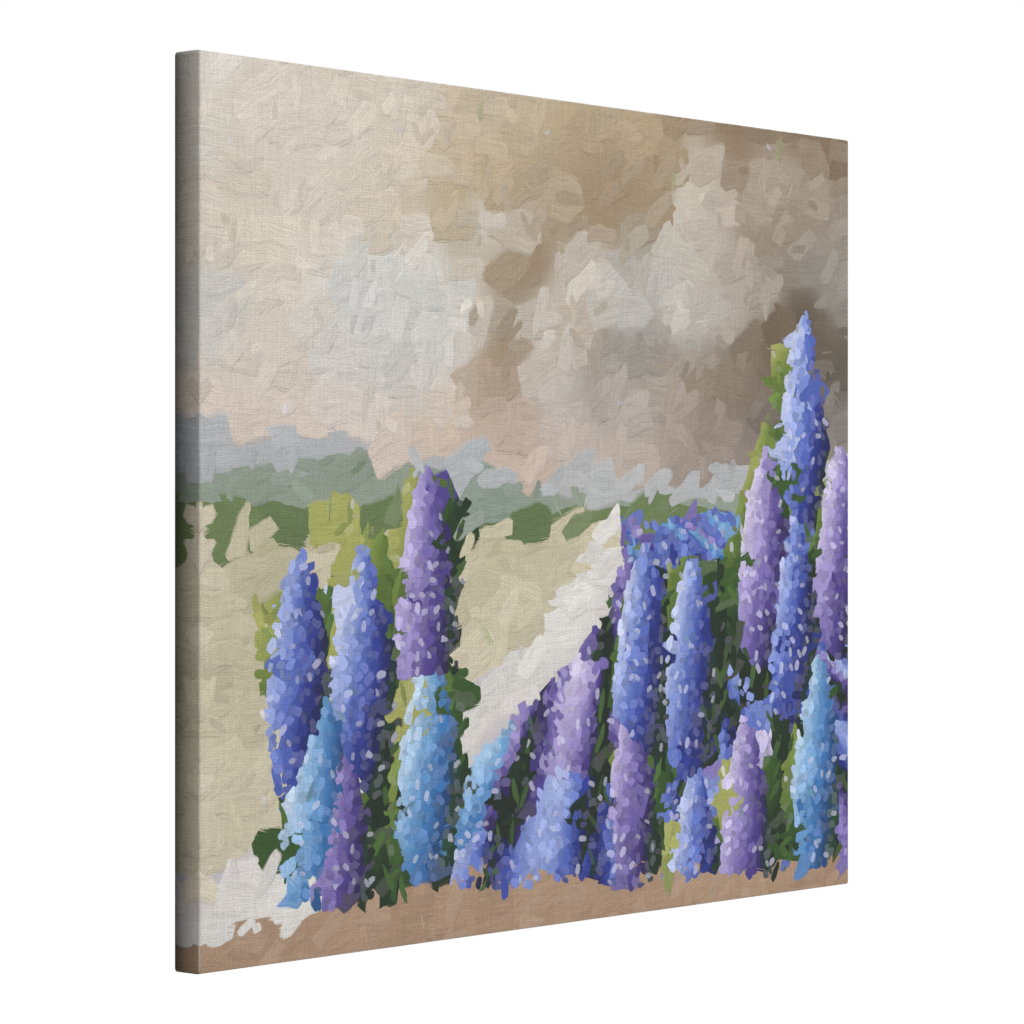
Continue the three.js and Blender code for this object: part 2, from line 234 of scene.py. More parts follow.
@dataclass(frozen=True)
class Garden:
    """A generic view over rows of blue and violet flowers, as colours by place: a path winds up from the
    lower left, and tall spires of flowers stand at both sides. Lengths are in units of the picture's height,
    u from its left and v from its bottom."""

    horizon: float = 0.52
    vanishing: float = 0.70  # where the rows and the path meet the horizon
    dusk: tuple[float, float, float] = (0.55, 0.2, 0.55)  # the sky is darker rightwards, down and by noise
    nearest: float = 0.015  # the least depth below the horizon, so that nothing is divided by zero
    beyond: float = 0.03  # added to it, so that far rows don't shrink away
    slope: float = 0.66  # how fast the ground recedes
    row: float = 0.42  # the rows' spacing for each unit of depth
    sway: float = 0.12  # how far they stray
    hedge: float = 0.06  # how far below the horizon they end
    crest: float = 3.0  # four times the light that a row's crest adds
    clump: float = 3.2  # clumps of flowers for each unit of the ground
    clumps: Light = Light(0.8, 1.1, -0.31, 0.55)
    far: float = 0.55  # the light on the farthest rows
    contrast: float = 0.15  # how much of their contrast they keep
    haze: tuple[float, float] = (0.04, 0.13)  # the depths where that is so, and where rows have all of it
    path: float = 0.30  # the path's half width for each unit of depth
    heading: float = -0.767  # how far it leads aside, for each unit of the ground
    start: float = -1.42  # and where from
    curve: float = 0.2  # how far it winds to each side
    bends: float = 3.4  # how often
    edges: float = 0.3  # how far its edges stray
    spire: float = 9.5  # spires for each unit across
    slender: float = 0.36  # a spire's width for its height
    breadth: float = 0.62  # its half width at its middle, as a share of its cell
    taper: float = 0.5  # how much narrower it gets upwards
    reach: float = 0.62  # its size in its cell, squared
    short: float = 2.6  # how much sooner it ends upwards than across, squared
    blooms: Light = Light(0.50, 0.45, 0.28, 0.36)
    leaf_top: float = 0.8  # how high its leaves reach in a stand's middle
    leaf_fall: float = 0.55  # and how much lower at the stand's outline

    def group(self) -> NodeTree:
        """The view as a node group, from a point to its look."""
        made = bpy.data.node_groups.new("garden view", "ShaderNodeTree")
        made.interface.new_socket("Point", in_out="INPUT", socket_type="NodeSocketVector")
        for name, kind in (("Colour", "Color"), ("Flowers", "Float"), ("Leaves", "Float")):
            made.interface.new_socket(name, in_out="OUTPUT", socket_type=f"NodeSocket{kind}")
        tree = Tree(made)
        point = tree.add("NodeGroupInput")
        at = tree.add("SeparateXYZ", point, pick=None)
        broad = tree.add("TexNoise", point, pick="Color", inputs={"Scale": 2.6}, **FLAT)
        n = tree.add("SeparateColor", broad, pick=None)
        place = Place(point, at[0], at[1], n[0], n[1], n[2])
        look = self.field(tree, place, self.hills(tree, place, self.sky(tree, place)))
        look = self.earth(tree, place, self.spires(tree, place, look))
        tree.add("NodeGroupOutput", look.colour, look.flowers, look.leaves, pick=None)
        return made

    def flowers(self, tree: Tree, light: object, draw: NodeSocket) -> NodeSocket:
        """The colour of flowers by the light on them, with a draw that picks their kind. In deep shade they
        show the green beneath them."""
        light = tree.value(light)
        made = tree.add("ValToRGB", light, stops=BLUE)
        for above, stops in KINDS:
            other = tree.add("ValToRGB", light, stops=stops)
            made = tree.add("Mix", ("GREATER_THAN", draw, above), made, other, **COLOURS)
        return made

    def sky(self, tree: Tree, at: Place) -> NodeSocket:
        """A warm sky that darkens to the right and downwards. It has pale and grey clouds and a rosy band,
        each where a noise or the height passes from its first bound to its second. They thin out to the
        right."""
        right, down, noise = self.dusk
        dark = ("MULTIPLY_ADD", at.u, right, ("MULTIPLY", at.n1, noise))
        made = tree.add("ValToRGB", ("MULTIPLY_ADD", ("SUBTRACT", 1.0, at.v), down, dark), stops=SKY)
        left = tree.add("MapRange", at.u, 0.5, 1.15, 1.0, 0.35, **SMOOTH)
        for by, none, full, most, code in (
            (at.n2, 0.50, 0.66, 0.8, "#e3ded6"),
            (at.n3, 0.56, 0.72, 0.45, "#b3babc"),
            (at.v, 0.74, 0.54, 0.7, "#d3c1b6"),
        ):
            cover = tree.add("MapRange", by, none, full, 0.0, most, **SMOOTH)
            cover = tree.value(("MULTIPLY", cover, left))
            made = tree.add("Mix", cover, made, code, **COLOURS)
        return made

    def hills(self, tree: Tree, at: Place, behind: NodeSocket) -> NodeSocket:
        """Three ridges, one before the other: each is below its height, plus a sine, plus noise."""
        for height, swell, waves, phase, ragged, shade, light in RIDGES:
            wave = ("MULTIPLY", ("SINE", ("MULTIPLY_ADD", at.u, waves, phase)), swell)
            top = ("ADD", wave, ("MULTIPLY_ADD", at.n2, ragged, height - ragged / 2))
            tone = tree.add("Mix", at.n3, shade, light, **COLOURS)
            behind = tree.add("Mix", ("LESS_THAN", at.v, top), behind, tone, **COLOURS)
        return behind

    def field(self, tree: Tree, at: Place, behind: NodeSocket) -> Look:
        """Rows of flowers in perspective to the right of the path, and grass to its left. The ground is the
        place across divided by the depth below the horizon, and the logarithm of that depth. A row is a
        parabola of light across it, broken into clumps, and far rows blend into one tone. The path's middle
        is a straight line on the ground plus a sine, and its colour is duller towards its edges."""
        depth = tree.value(("MAXIMUM", ("SUBTRACT", self.horizon, at.v), self.nearest))
        deep = tree.value(("ADD", depth, self.beyond))
        across = tree.value(("DIVIDE", ("SUBTRACT", at.u, self.vanishing), deep))
        down = tree.value(("MULTIPLY", ("LOGARITHM", deep, math.e), self.slope))
        ground = tree.add("CombineXYZ", across, down, 0.0)
        cells = tree.add("TexVoronoi", ground, pick=None, voronoi_dimensions="2D",
                         inputs={"Scale": self.clump, "Randomness": 0.85})
        aside = tree.add("VectorMath", ground, cells["Position"], operation="SUBTRACT")
        away = tree.add("SeparateXYZ", aside, pick=None)
        draw = tree.add("SeparateColor", cells["Color"], pick=None)
        in_row = tree.value(("FRACT", ("DIVIDE", ("MULTIPLY_ADD", at.n2, self.sway, across), self.row)))
        crest = ("MULTIPLY", ("MULTIPLY", in_row, ("SUBTRACT", 1.0, in_row)), self.crest)
        lit = self.clumps
        light = ("MULTIPLY_ADD", away[0], -lit.right, ("MULTIPLY_ADD", away[1], -lit.down, lit.middle))
        light = tree.value(("ADD", ("ADD", light, crest), ("MULTIPLY", at.n2, lit.patchy)))
        clear = tree.add("MapRange", depth, *self.haze, self.contrast, 1.0, **SMOOTH)
        light = tree.value(("MULTIPLY_ADD", ("SUBTRACT", light, self.far), clear, self.far))
        rows = self.flowers(tree, light, draw[0])
        bends = ("MULTIPLY_ADD", ("SINE", ("MULTIPLY", down, self.bends)), self.curve, self.start)
        line = ("MULTIPLY_ADD", down, self.heading, bends)
        beside = ("SUBTRACT", ("SUBTRACT", across, line), self.edges / 2)
        beside = tree.value(("MULTIPLY_ADD", at.n3, self.edges, beside))
        tread = ("MULTIPLY_ADD", at.n1, 1.2, ("MULTIPLY_ADD", ("ABSOLUTE", beside), 1.4, -0.6))
        way = tree.add("ValToRGB", tread, stops=WAY)
        grass = tree.add("ValToRGB", ("MULTIPLY_ADD", away[1], -0.5, at.n1), stops=GRASS)
        on_left = tree.value(("LESS_THAN", beside, -self.path))
        on_right = tree.value(("GREATER_THAN", beside, self.path))
        colour = tree.add("Mix", on_left, way, grass, **COLOURS)
        colour = tree.add("Mix", on_right, colour, rows, **COLOURS)
        inside = tree.value(("LESS_THAN", at.v, ("MULTIPLY_ADD", at.n1, 0.05, self.horizon - self.hedge)))
        colour = tree.add("Mix", inside, behind, colour, **COLOURS)
        planted = tree.value(("MULTIPLY", inside, on_right))
        flowers = tree.value(("MULTIPLY", planted, ("GREATER_THAN", light, SHADED)))
        return Look(colour, flowers, tree.value(("SUBTRACT", planted, flowers)))

    def spires(self, tree: Tree, at: Place, behind: Look) -> Look:
        """Stands of flower spires: upright cells whose middles lie inside ellipses. A spire is an oval that
        narrows upwards, lit from the left, and leaves fill the gaps low down."""
        flat = tree.add("VectorMath", at.point, (1.0, self.slender, 1.0), operation="MULTIPLY")
        cells = tree.add("TexVoronoi", flat, pick=None, voronoi_dimensions="2D",
                         inputs={"Scale": self.spire, "Randomness": 0.75})
        middle = tree.add("SeparateXYZ", cells["Position"], pick=None)
        aside = tree.add("VectorMath", flat, cells["Position"], operation="SUBTRACT")
        away = tree.add("SeparateXYZ", aside, pick=None)
        draw = tree.add("SeparateColor", cells["Color"], pick=None)
        height = tree.value(("DIVIDE", middle[1], self.slender))
        near = None
        for across, up, wide, tall in STANDS:
            dx = tree.value(("DIVIDE", ("SUBTRACT", middle[0], across), wide))
            dz = tree.value(("DIVIDE", ("SUBTRACT", height, up), tall))
            out = tree.value(("SQRT", ("MULTIPLY_ADD", dx, dx, ("MULTIPLY", dz, dz))))
            near = out if near is None else tree.value(("MINIMUM", near, out))
        up = tree.value(("MULTIPLY", away[1], self.spire))
        wide = ("MULTIPLY_ADD", up, -self.taper, self.breadth)
        beside = tree.value(("DIVIDE", ("MULTIPLY", away[0], self.spire), wide))
        oval = tree.value(("MULTIPLY_ADD", beside, beside, ("MULTIPLY", ("MULTIPLY", up, up), self.short)))
        lit = self.blooms
        light = ("MULTIPLY_ADD", beside, -lit.right, ("MULTIPLY_ADD", up, lit.down, lit.middle))
        light = tree.value(("MULTIPLY_ADD", at.n1, lit.patchy, light))
        bloom = self.flowers(tree, light, draw[1])
        on_spire = tree.value(("LESS_THAN", oval, self.reach))
        green = ("MULTIPLY_ADD", up, 0.7, ("MULTIPLY_ADD", beside, -0.25, at.n2))
        stems = tree.add("ValToRGB", green, stops=LEAF)
        made = tree.add("Mix", on_spire, stems, bloom, **COLOURS)
        stand = tree.value(("LESS_THAN", near, 1.0))
        leafy = ("LESS_THAN", up, ("MULTIPLY_ADD", near, -self.leaf_fall, self.leaf_top))
        inside = tree.value(("MULTIPLY", stand, ("MAXIMUM", on_spire, leafy)))
        colour = tree.add("Mix", inside, behind.colour, made, **COLOURS)
        bare = tree.value(("SUBTRACT", 1.0, inside))
        bloomed = tree.value(("MULTIPLY", inside, on_spire))
        flowers = tree.value(("MULTIPLY_ADD", bare, behind.flowers, bloomed))
        leaves = ("MULTIPLY_ADD", bare, behind.leaves, ("SUBTRACT", inside, bloomed))
        return Look(colour, flowers, tree.value(leaves))

    def earth(self, tree: Tree, at: Place, behind: Look) -> Look:
        """A strip of bare earth along the bottom, whose top is a sine plus noise."""
        wave = ("MULTIPLY_ADD", ("SINE", ("MULTIPLY", at.u, 5.0)), 0.014, 0.006)
        inside = tree.value(("LESS_THAN", at.v, ("MULTIPLY_ADD", at.n2, 0.07, wave)))
        tone = tree.add("Mix", at.n3, "#9d8069", "#b3967c", **COLOURS)
        colour = tree.add("Mix", inside, behind.colour, tone, **COLOURS)
        above = tree.value(("SUBTRACT", 1.0, inside))
        return Look(colour, tree.value(("MULTIPLY", behind.flowers, above)),
                    tree.value(("MULTIPLY", behind.leaves, above)))


@dataclass(frozen=True)
class Brush:
    """One pass of the brush over the whole picture. A stroke is a turned superellipse in a cell: it takes the
    view's colour at the cell's middle, is streaked along its length by the bristles and has a ragged edge."""

    spacing: float  # millimetres between strokes
    length: float
    width: float
    turn: float  # the strokes' usual direction, in degrees
    spread: float  # how far they turn from it
    calm: float  # the share of the cells with a stroke, on calm ground, on flowers and on leaves
    flowers: float
    leaves: float
    jitter: float  # how far a stroke's lightness strays
    tinting: float = 0.0  # how much of the tint is mixed in
    tint: str = "#ffffff"
    ends: float = 4.0  # 4 gives a stroke blunt ends, and 2 or less points them
    bristles: float = 7.0  # how many bristle marks lie across half a stroke


BRUSHES = (
    Brush(33, 54, 26, 12, 26, 1.0, 0.2, 0.6, 0.06, bristles=14.0),
    Brush(25, 34, 11, 36, 44, 0.66, 0.6, 0.6, 0.08, 0.06, "#e6dfd5", bristles=9.0),
    Brush(16, 18, 6.5, 40, 80, 0.30, 0.9, 0.9, 0.13),
    Brush(15, 13, 1.2, 40, 90, 0.08, 0.0, 0.0, 0.10, 0.12, "#efeae2", 2.0, 1.0),
    Brush(14, 21, 5.0, 80, 55, 0.008, 0.06, 0.85, 0.30, 0.35, "#5c8040", 1.6, 2.0),
    Brush(10, 9, 6, 40, 90, 0.02, 0.9, 0.25, 0.22, bristles=4.0),
    Brush(8, 7, 4.5, 40, 90, 0.0, 0.85, 0.08, 0.30, 0.08, "#d4d2ec", bristles=3.0),
    Brush(9, 6.5, 3.6, 40, 90, 0.004, 0.26, 0.03, 0.20, 0.42, "#dcdcee", 2.6, 2.0),
)


@dataclass(frozen=True)
class Painting:
    """The garden view painted in brush strokes, each pass over the one before it."""

    tall: float  # the picture's height in metres, the unit of its coordinates
    waver: float = 0.012  # how far the strokes' outlines wander
    wavering: float = 26.0  # how often, for each unit
    narrow: float = 0.6  # the most of its width that a narrow stroke's outline wanders
    smaller: float = 1.3  # how many times smaller than its brush the smallest stroke is
    varied: float = 0.5  # how much of that differs from stroke to stroke
    drag: float = 0.001  # how far the wet paint below drags a stroke
    sides: float = 2.4  # the most that the superellipse's exponent is across a stroke
    comb: float = 0.7  # how often the bristle marks change along a stroke
    ragged: float = 1.3  # how much the bristles shape a stroke's edge
    soft: float = 0.16  # how much of a stroke its edge fades over
    dark: float = 0.75  # a stroke's lightness between its bristle marks
    streak: float = 0.50  # how much lighter the marks are
    ridge: float = 0.19  # how much lighter the paint is that is heaped along one side

    def colour(self, tree: Tree, point: NodeSocket) -> NodeSocket:
        """The painting's colour.

        Args:
            tree: The material's nodes.
            point: The place on the picture, in units of its height.

        Returns:
            The colour's socket.
        """
        view = Garden().group()
        noise = tree.add("TexNoise", point, pick="Color", inputs={"Scale": self.wavering}, **FLAT)
        rgb = tree.add("SeparateColor", noise, pick=None)
        wander = tree.add("CombineXYZ", ("SUBTRACT", rgb[0], 0.5), ("SUBTRACT", rgb[1], 0.5), 0.0)
        start = tree.add("VectorMath", wander, (self.waver, self.waver, 0), point, operation="MULTIPLY_ADD")
        paint = tree.add("Group", start, node_tree=view)
        for order, brush in enumerate(BRUSHES):
            paint = self.stroke(tree, brush, order, view, point, wander, paint)
        return paint

    def stroke(
        self,
        tree: Tree,
        brush: Brush,
        order: int,
        view: NodeTree,
        point: NodeSocket,
        wander: NodeSocket,
        paint: NodeSocket,
    ) -> NodeSocket:
        """One pass of a brush. The wet paint below drags each stroke a little, by how green it is.

        Args:
            tree: The material's nodes.
            brush: The pass's brush.
            order: The pass's number, which sets its cells apart from the other passes'.
            view: The view's node group.
            point: The place on the picture.
            wander: Noise that the strokes' outlines follow.
            paint: The colour of the passes below.

        Returns:
            The colour with this pass on it.
        """
        unit = MM / self.tall
        # Any numbers do here that give no two passes the same cells.
        offset = (1.37 * order + 0.21, 2.11 * order + 0.67, 0.0)
        follow = min(brush.width * unit * self.narrow, self.waver)
        below = tree.add("SeparateColor", paint, pick=None)
        drag = tree.value(("MULTIPLY_ADD", below[1], 2 * self.drag, -self.drag))
        dragged = tree.add("VectorMath", tree.add("CombineXYZ", drag, drag, 0.0), point, operation="ADD")
        here = tree.add("VectorMath", wander, (follow, follow, 0), dragged, operation="MULTIPLY_ADD")
        there = tree.add("VectorMath", here, offset, operation="ADD")
        cells = tree.add("TexVoronoi", there, pick=None, voronoi_dimensions="2D",
                         inputs={"Scale": 1 / (brush.spacing * unit), "Randomness": 1.0})
        middle = tree.add("VectorMath", cells["Position"], offset, operation="SUBTRACT")
        seen = tree.add("Group", middle, node_tree=view, pick=None)
        draw = tree.add("SeparateColor", cells["Color"], pick=None)
        span, first = math.radians(2 * brush.spread), math.radians(brush.turn - brush.spread)
        back = ("MULTIPLY_ADD", draw[0], -span, -first)
        local = tree.add("VectorMath", there, cells["Position"], operation="SUBTRACT")
        turned = tree.add("VectorRotate", inputs={"Vector": local, "Angle": back}, rotation_type="Z_AXIS")
        half = (2 / (brush.length * unit), 2 / (brush.width * unit), 0)
        sized = tree.add("VectorMath", turned, half, operation="MULTIPLY")
        smaller = ("MULTIPLY_ADD", draw[2], -self.varied, self.smaller)
        stretched = tree.add("VectorMath", sized, smaller, operation="SCALE")
        along = tree.add("SeparateXYZ", stretched, pick=None)
        r = tree.value(("ADD", ("POWER", ("ABSOLUTE", along[0]), brush.ends),
                        ("POWER", ("ABSOLUTE", along[1]), min(brush.ends, self.sides))))
        comb = (self.comb, brush.bristles, 0)
        bristle_at = tree.add("VectorMath", stretched, comb, cells["Position"], operation="MULTIPLY_ADD")
        marks = {"Scale": 1.6, "Detail": 1.0, "Roughness": 0.6}
        bristle = tree.add("TexNoise", bristle_at, pick="Fac", inputs=marks, **FLAT)
        ragged = ("MULTIPLY_ADD", bristle, self.ragged, ("SUBTRACT", r, self.ragged / 2))
        inside = tree.add("MapRange", ragged, 1.0, 1.0 - self.soft, 0.0, 1.0)
        cover = ("MULTIPLY_ADD", seen[1], brush.flowers - brush.calm, brush.calm)
        cover = ("MULTIPLY_ADD", seen[2], brush.leaves - brush.calm, cover)
        mask = tree.value(("MULTIPLY", inside, ("LESS_THAN", draw[1], cover)))
        light = ("MULTIPLY_ADD", draw[2], 2 * brush.jitter, self.dark - brush.jitter)
        light = ("MULTIPLY_ADD", bristle, self.streak, light)
        rim = ("MULTIPLY", ("MULTIPLY", along[1], self.ridge), ("POWER", ("MINIMUM", r, 1.0), 3.0))
        light = tree.value(("ADD", light, rim))
        tone = seen[0]
        if brush.tinting:
            tone = tree.add("Mix", brush.tinting, seen[0], brush.tint, **COLOURS)
        tone = tree.add("HueSaturation", inputs={"Value": light, "Color": tone})
        return tree.add("Mix", mask, paint, tone, **COLOURS)


# ---------------------------------------------------------------------------------------------------------
# The finishes
# ---------------------------------------------------------------------------------------------------------


def weave(tree: Tree, cloth: NodeSocket) -> NodeSocket:
    """The height of a plain weave, about 0 to 1. With a = |sin(pi x / p)| and b = |sin(pi y / p)|, a crossing
    where the upright thread is on top is as high as a times the root of b, and the next one as b times the
    root of a. Broad noise bends the threads, streaks of noise along them make some thick, and finer noise
    makes each crossing a little higher or lower.

    Args:
        tree: The material's nodes.
        cloth: The place on the cloth, in millimetres.

    Returns:
        The height's socket.
    """
    waver = tree.add("TexNoise", cloth, pick="Color", inputs={"Scale": 0.06, "Detail": 1.0}, **FLAT)
    loose = tree.add("SeparateColor", waver, pick=None)
    at = tree.add("SeparateXYZ", cloth, pick=None)
    bend = 2.2  # the most that noise shifts a thread, in millimetres
    threads, lift = 0.5, 0.22  # the threads' share of the height, and what raises it to 0 and more
    sines = []
    for place, noise in ((at[0], loose[0]), (at[1], loose[1])):
        run = ("MULTIPLY_ADD", noise, bend, place)
        sines.append(tree.value(("SINE", ("MULTIPLY", run, math.pi / THREADS))))
    over = tree.value(("GREATER_THAN", ("MULTIPLY", sines[0], sines[1]), 0.0))
    a = tree.value(("ABSOLUTE", sines[0]))
    b = tree.value(("ABSOLUTE", sines[1]))
    upright = ("MULTIPLY", a, ("SQRT", b))
    level = ("MULTIPLY", b, ("SQRT", a))
    height = ("ADD", ("MULTIPLY", over, upright), ("MULTIPLY", ("SUBTRACT", 1.0, over), level))
    height = tree.value(("MULTIPLY", height, threads))
    fast, slow, even = 0.8 / THREADS, 0.05, 0.75  # how often the noise changes, per millimetre
    for often, share in (((fast, slow, 0), 0.55), ((slow, fast, 0), 0.55), ((even, even, 0), 1.1)):
        drawn = tree.add("VectorMath", cloth, often, operation="MULTIPLY")
        noise = tree.add("TexNoise", drawn, pick="Fac", inputs={"Scale": 1.0, "Detail": 1.0}, **FLAT)
        height = tree.value(("MULTIPLY_ADD", ("SUBTRACT", noise, 0.5), share, height))
    return tree.value(("ADD", height, lift))


@dataclass(frozen=True)
class PrintedCanvas(Finish):
    """Cotton canvas with a matt white ink-jet coating and a pigment print. The print is mirrored past the
    front's edges and ends on the back, where the bare coating shows. Along the edges, where the cloth is bent
    and handled, the coating shows through in places; this pale line is also a painted highlight along the fold.
    The weave gives it its fine grain, with painted shade in its hollows and painted light on its raised
    threads."""

    wide: float
    tall: float
    printed: float  # how far past the front's edge the print goes
    worn: float = 0.9 * MM  # half the width of the pale line along an edge: wear, and painted highlight along the fold

    def surface(self, tree: Tree) -> dict:
        """The mirrored painting on the woven ground, with painted shade in the weave's hollows."""
        cloth = tree.add("UVMap", uv_map=SHEET_UV)
        at = tree.add("SeparateXYZ", cloth, pick=None)
        ratio = self.wide / self.tall
        mirrored = tree.add("CombineXYZ", ("PINGPONG", at[0], ratio), ("PINGPONG", at[1], 1.0), 0.0)
        paint = Painting(self.tall).colour(tree, mirrored)
        across = ("MAXIMUM", ("MULTIPLY", at[0], -1.0), ("SUBTRACT", at[0], ratio))
        along = ("MAXIMUM", ("MULTIPLY", at[1], -1.0), ("SUBTRACT", at[1], 1.0))
        past = tree.value(("MAXIMUM", across, along))
        # A pale patchy line along the folded edges: wear where the coating shows through, and painted highlight
        # along the fold.
        wear_and_highlight_patches = tree.add("TexNoise", cloth, pick="Fac", inputs={"Scale": 14.0, "Detail": 4.0}, **FLAT)
        most = tree.add("MapRange", wear_and_highlight_patches, 0.42, 0.62, 0.04, 0.5, **SMOOTH)
        wear_and_fold_highlight = tree.add("MapRange", ("ABSOLUTE", past), 0.0, self.worn / self.tall, most, 0.0, **SMOOTH)
        bare = ("MAXIMUM", wear_and_fold_highlight, ("GREATER_THAN", past, self.printed / self.tall))
        colour = tree.add("Mix", bare, paint, "#e9e4da", **COLOURS)
        in_mm = tree.add("VectorMath", cloth, (self.tall / MM,) * 3, operation="MULTIPLY")
        grain = weave(tree, in_mm)
        # Painted shade and light: darker in the weave's hollows, lighter on its raised and thick threads.
        light = tree.value(("MULTIPLY_ADD", grain, 0.28, 0.875))
        weave_shaded = tree.add("HueSaturation", inputs={"Value": light, "Color": colour})
        bump = tree.add("Bump", inputs={"Strength": 0.6, "Distance": 0.24 * MM, "Height": grain})
        rough = tree.value(("MULTIPLY_ADD", grain, -0.12, 0.82))
        return {"Base Color": weave_shaded, "Roughness": rough, "Normal": bump, "Specular IOR Level": 0.35}


@dataclass(frozen=True)
class RawCotton(Finish):
    """Unbleached cotton canvas, as the uncoated inside shows: cream, with thick and thin threads, painted shade
    in the gaps between them and a few brown flecks of seed."""

    tall: float

    def surface(self, tree: Tree) -> dict:
        """Cream threads with painted shade in the gaps between them, and flecks."""
        cloth = tree.add("UVMap", uv_map=SHEET_UV)
        in_mm = tree.add("VectorMath", cloth, (self.tall / MM,) * 3, operation="MULTIPLY")
        grain = weave(tree, in_mm)
        # Painted shade: the colour is darker where the weave is low, in the gaps between the threads.
        cream = tree.add("ValToRGB", grain, stops=((0.1, "#c0b59c"), (0.45, "#d8ceb7"), (0.9, "#e6dfcd")))
        specks = tree.add("TexNoise", in_mm, pick="Fac", inputs={"Scale": 0.45, "Detail": 3.0}, **FLAT)
        fleck = tree.add("MapRange", specks, 0.70, 0.76, 0.0, 0.8)
        colour = tree.add("Mix", fleck, cream, "#7c6546", **COLOURS)
        bump = tree.add("Bump", inputs={"Strength": 0.6, "Distance": 0.2 * MM, "Height": grain})
        return {"Base Color": colour, "Roughness": 0.95, "Normal": bump, "Specular IOR Level": 0.2,
                "Sheen Weight": 0.15, "Sheen Roughness": 0.6}


@dataclass(frozen=True)
class CutEdge(Finish):
    """The canvas's cut edge: the ends of the threads."""

    tall: float

    def surface(self, tree: Tree) -> dict:
        """Light thread ends with painted shade in the gaps between them, spaced as the threads are."""
        at = tree.add("SeparateXYZ", tree.add("UVMap", uv_map=SHEET_UV), pick=None)
        turn = math.pi * self.tall / MM / THREADS
        ends = [("ABSOLUTE", ("SINE", ("MULTIPLY", at[i], turn))) for i in (0, 1)]
        row = tree.value(("MINIMUM", *ends))
        # Painted shade: darker in the gaps between the thread ends.
        colour = tree.add("ValToRGB", row, stops=((0.0, "#9c8e74"), (0.6, "#ddd3bd")))
        bump = tree.add("Bump", inputs={"Strength": 0.5, "Distance": 0.1 * MM, "Height": row})
        return {"Base Color": colour, "Roughness": 0.95, "Normal": bump, "Specular IOR Level": 0.2}


@dataclass(frozen=True)
class CottonThread(Finish):
    """Loose cotton threads, cream and fuzzy, pale where the coating holds to them."""

    def surface(self, tree: Tree) -> dict:
        """Cream that varies from thread to thread."""
        place = tree.add("TexCoord", pick="Object")
        noise = tree.add("TexNoise", place, pick="Fac", inputs={"Scale": 220.0})
        colour = tree.add("ValToRGB", noise, stops=((0.3, "#d9cfb8"), (0.7, "#f1ebde")))
        return {"Base Color": colour, "Roughness": 0.95, "Specular IOR Level": 0.2, "Sheen Weight": 0.3}


class Run(Enum):
    """The way that a piece of wood's grain runs."""

    ACROSS = (0, 2)
    UPRIGHT = (2, 0)


@dataclass(frozen=True)
class Wood(Finish):
    """Wood whose grain runs along a side of the picture."""

    run: Run

    def place(self, tree: Tree) -> tuple[NodeSocket, NodeSocket, NodeSocket]:
        """The place along the grain, across it and in depth, in millimetres."""
        place = tree.add("TexCoord", pick="Object")
        in_mm = tree.add("VectorMath", place, (1 / MM,) * 3, operation="MULTIPLY")
        axes = tree.add("SeparateXYZ", in_mm, pick=None)
        along, across = self.run.value
        return axes[along], axes[across], axes[1]

    def streaks(self, tree: Tree, place: tuple, rates: tuple[float, float], detail: float) -> NodeSocket:
        """Noise that is drawn out along the grain.

        Args:
            tree: The material's nodes.
            place: The place along the grain, across it and in depth.
            rates: How often the noise changes along the grain and across it, per millimetre.
            detail: How many finer layers it has.

        Returns:
            The noise's socket.
        """
        slow, fast = rates
        at = tree.add("CombineXYZ", *(("MULTIPLY", v, rate) for v, rate in zip(place, (slow, fast, fast))))
        return tree.add("TexNoise", at, pick="Fac", inputs={"Scale": 1.0, "Detail": detail})


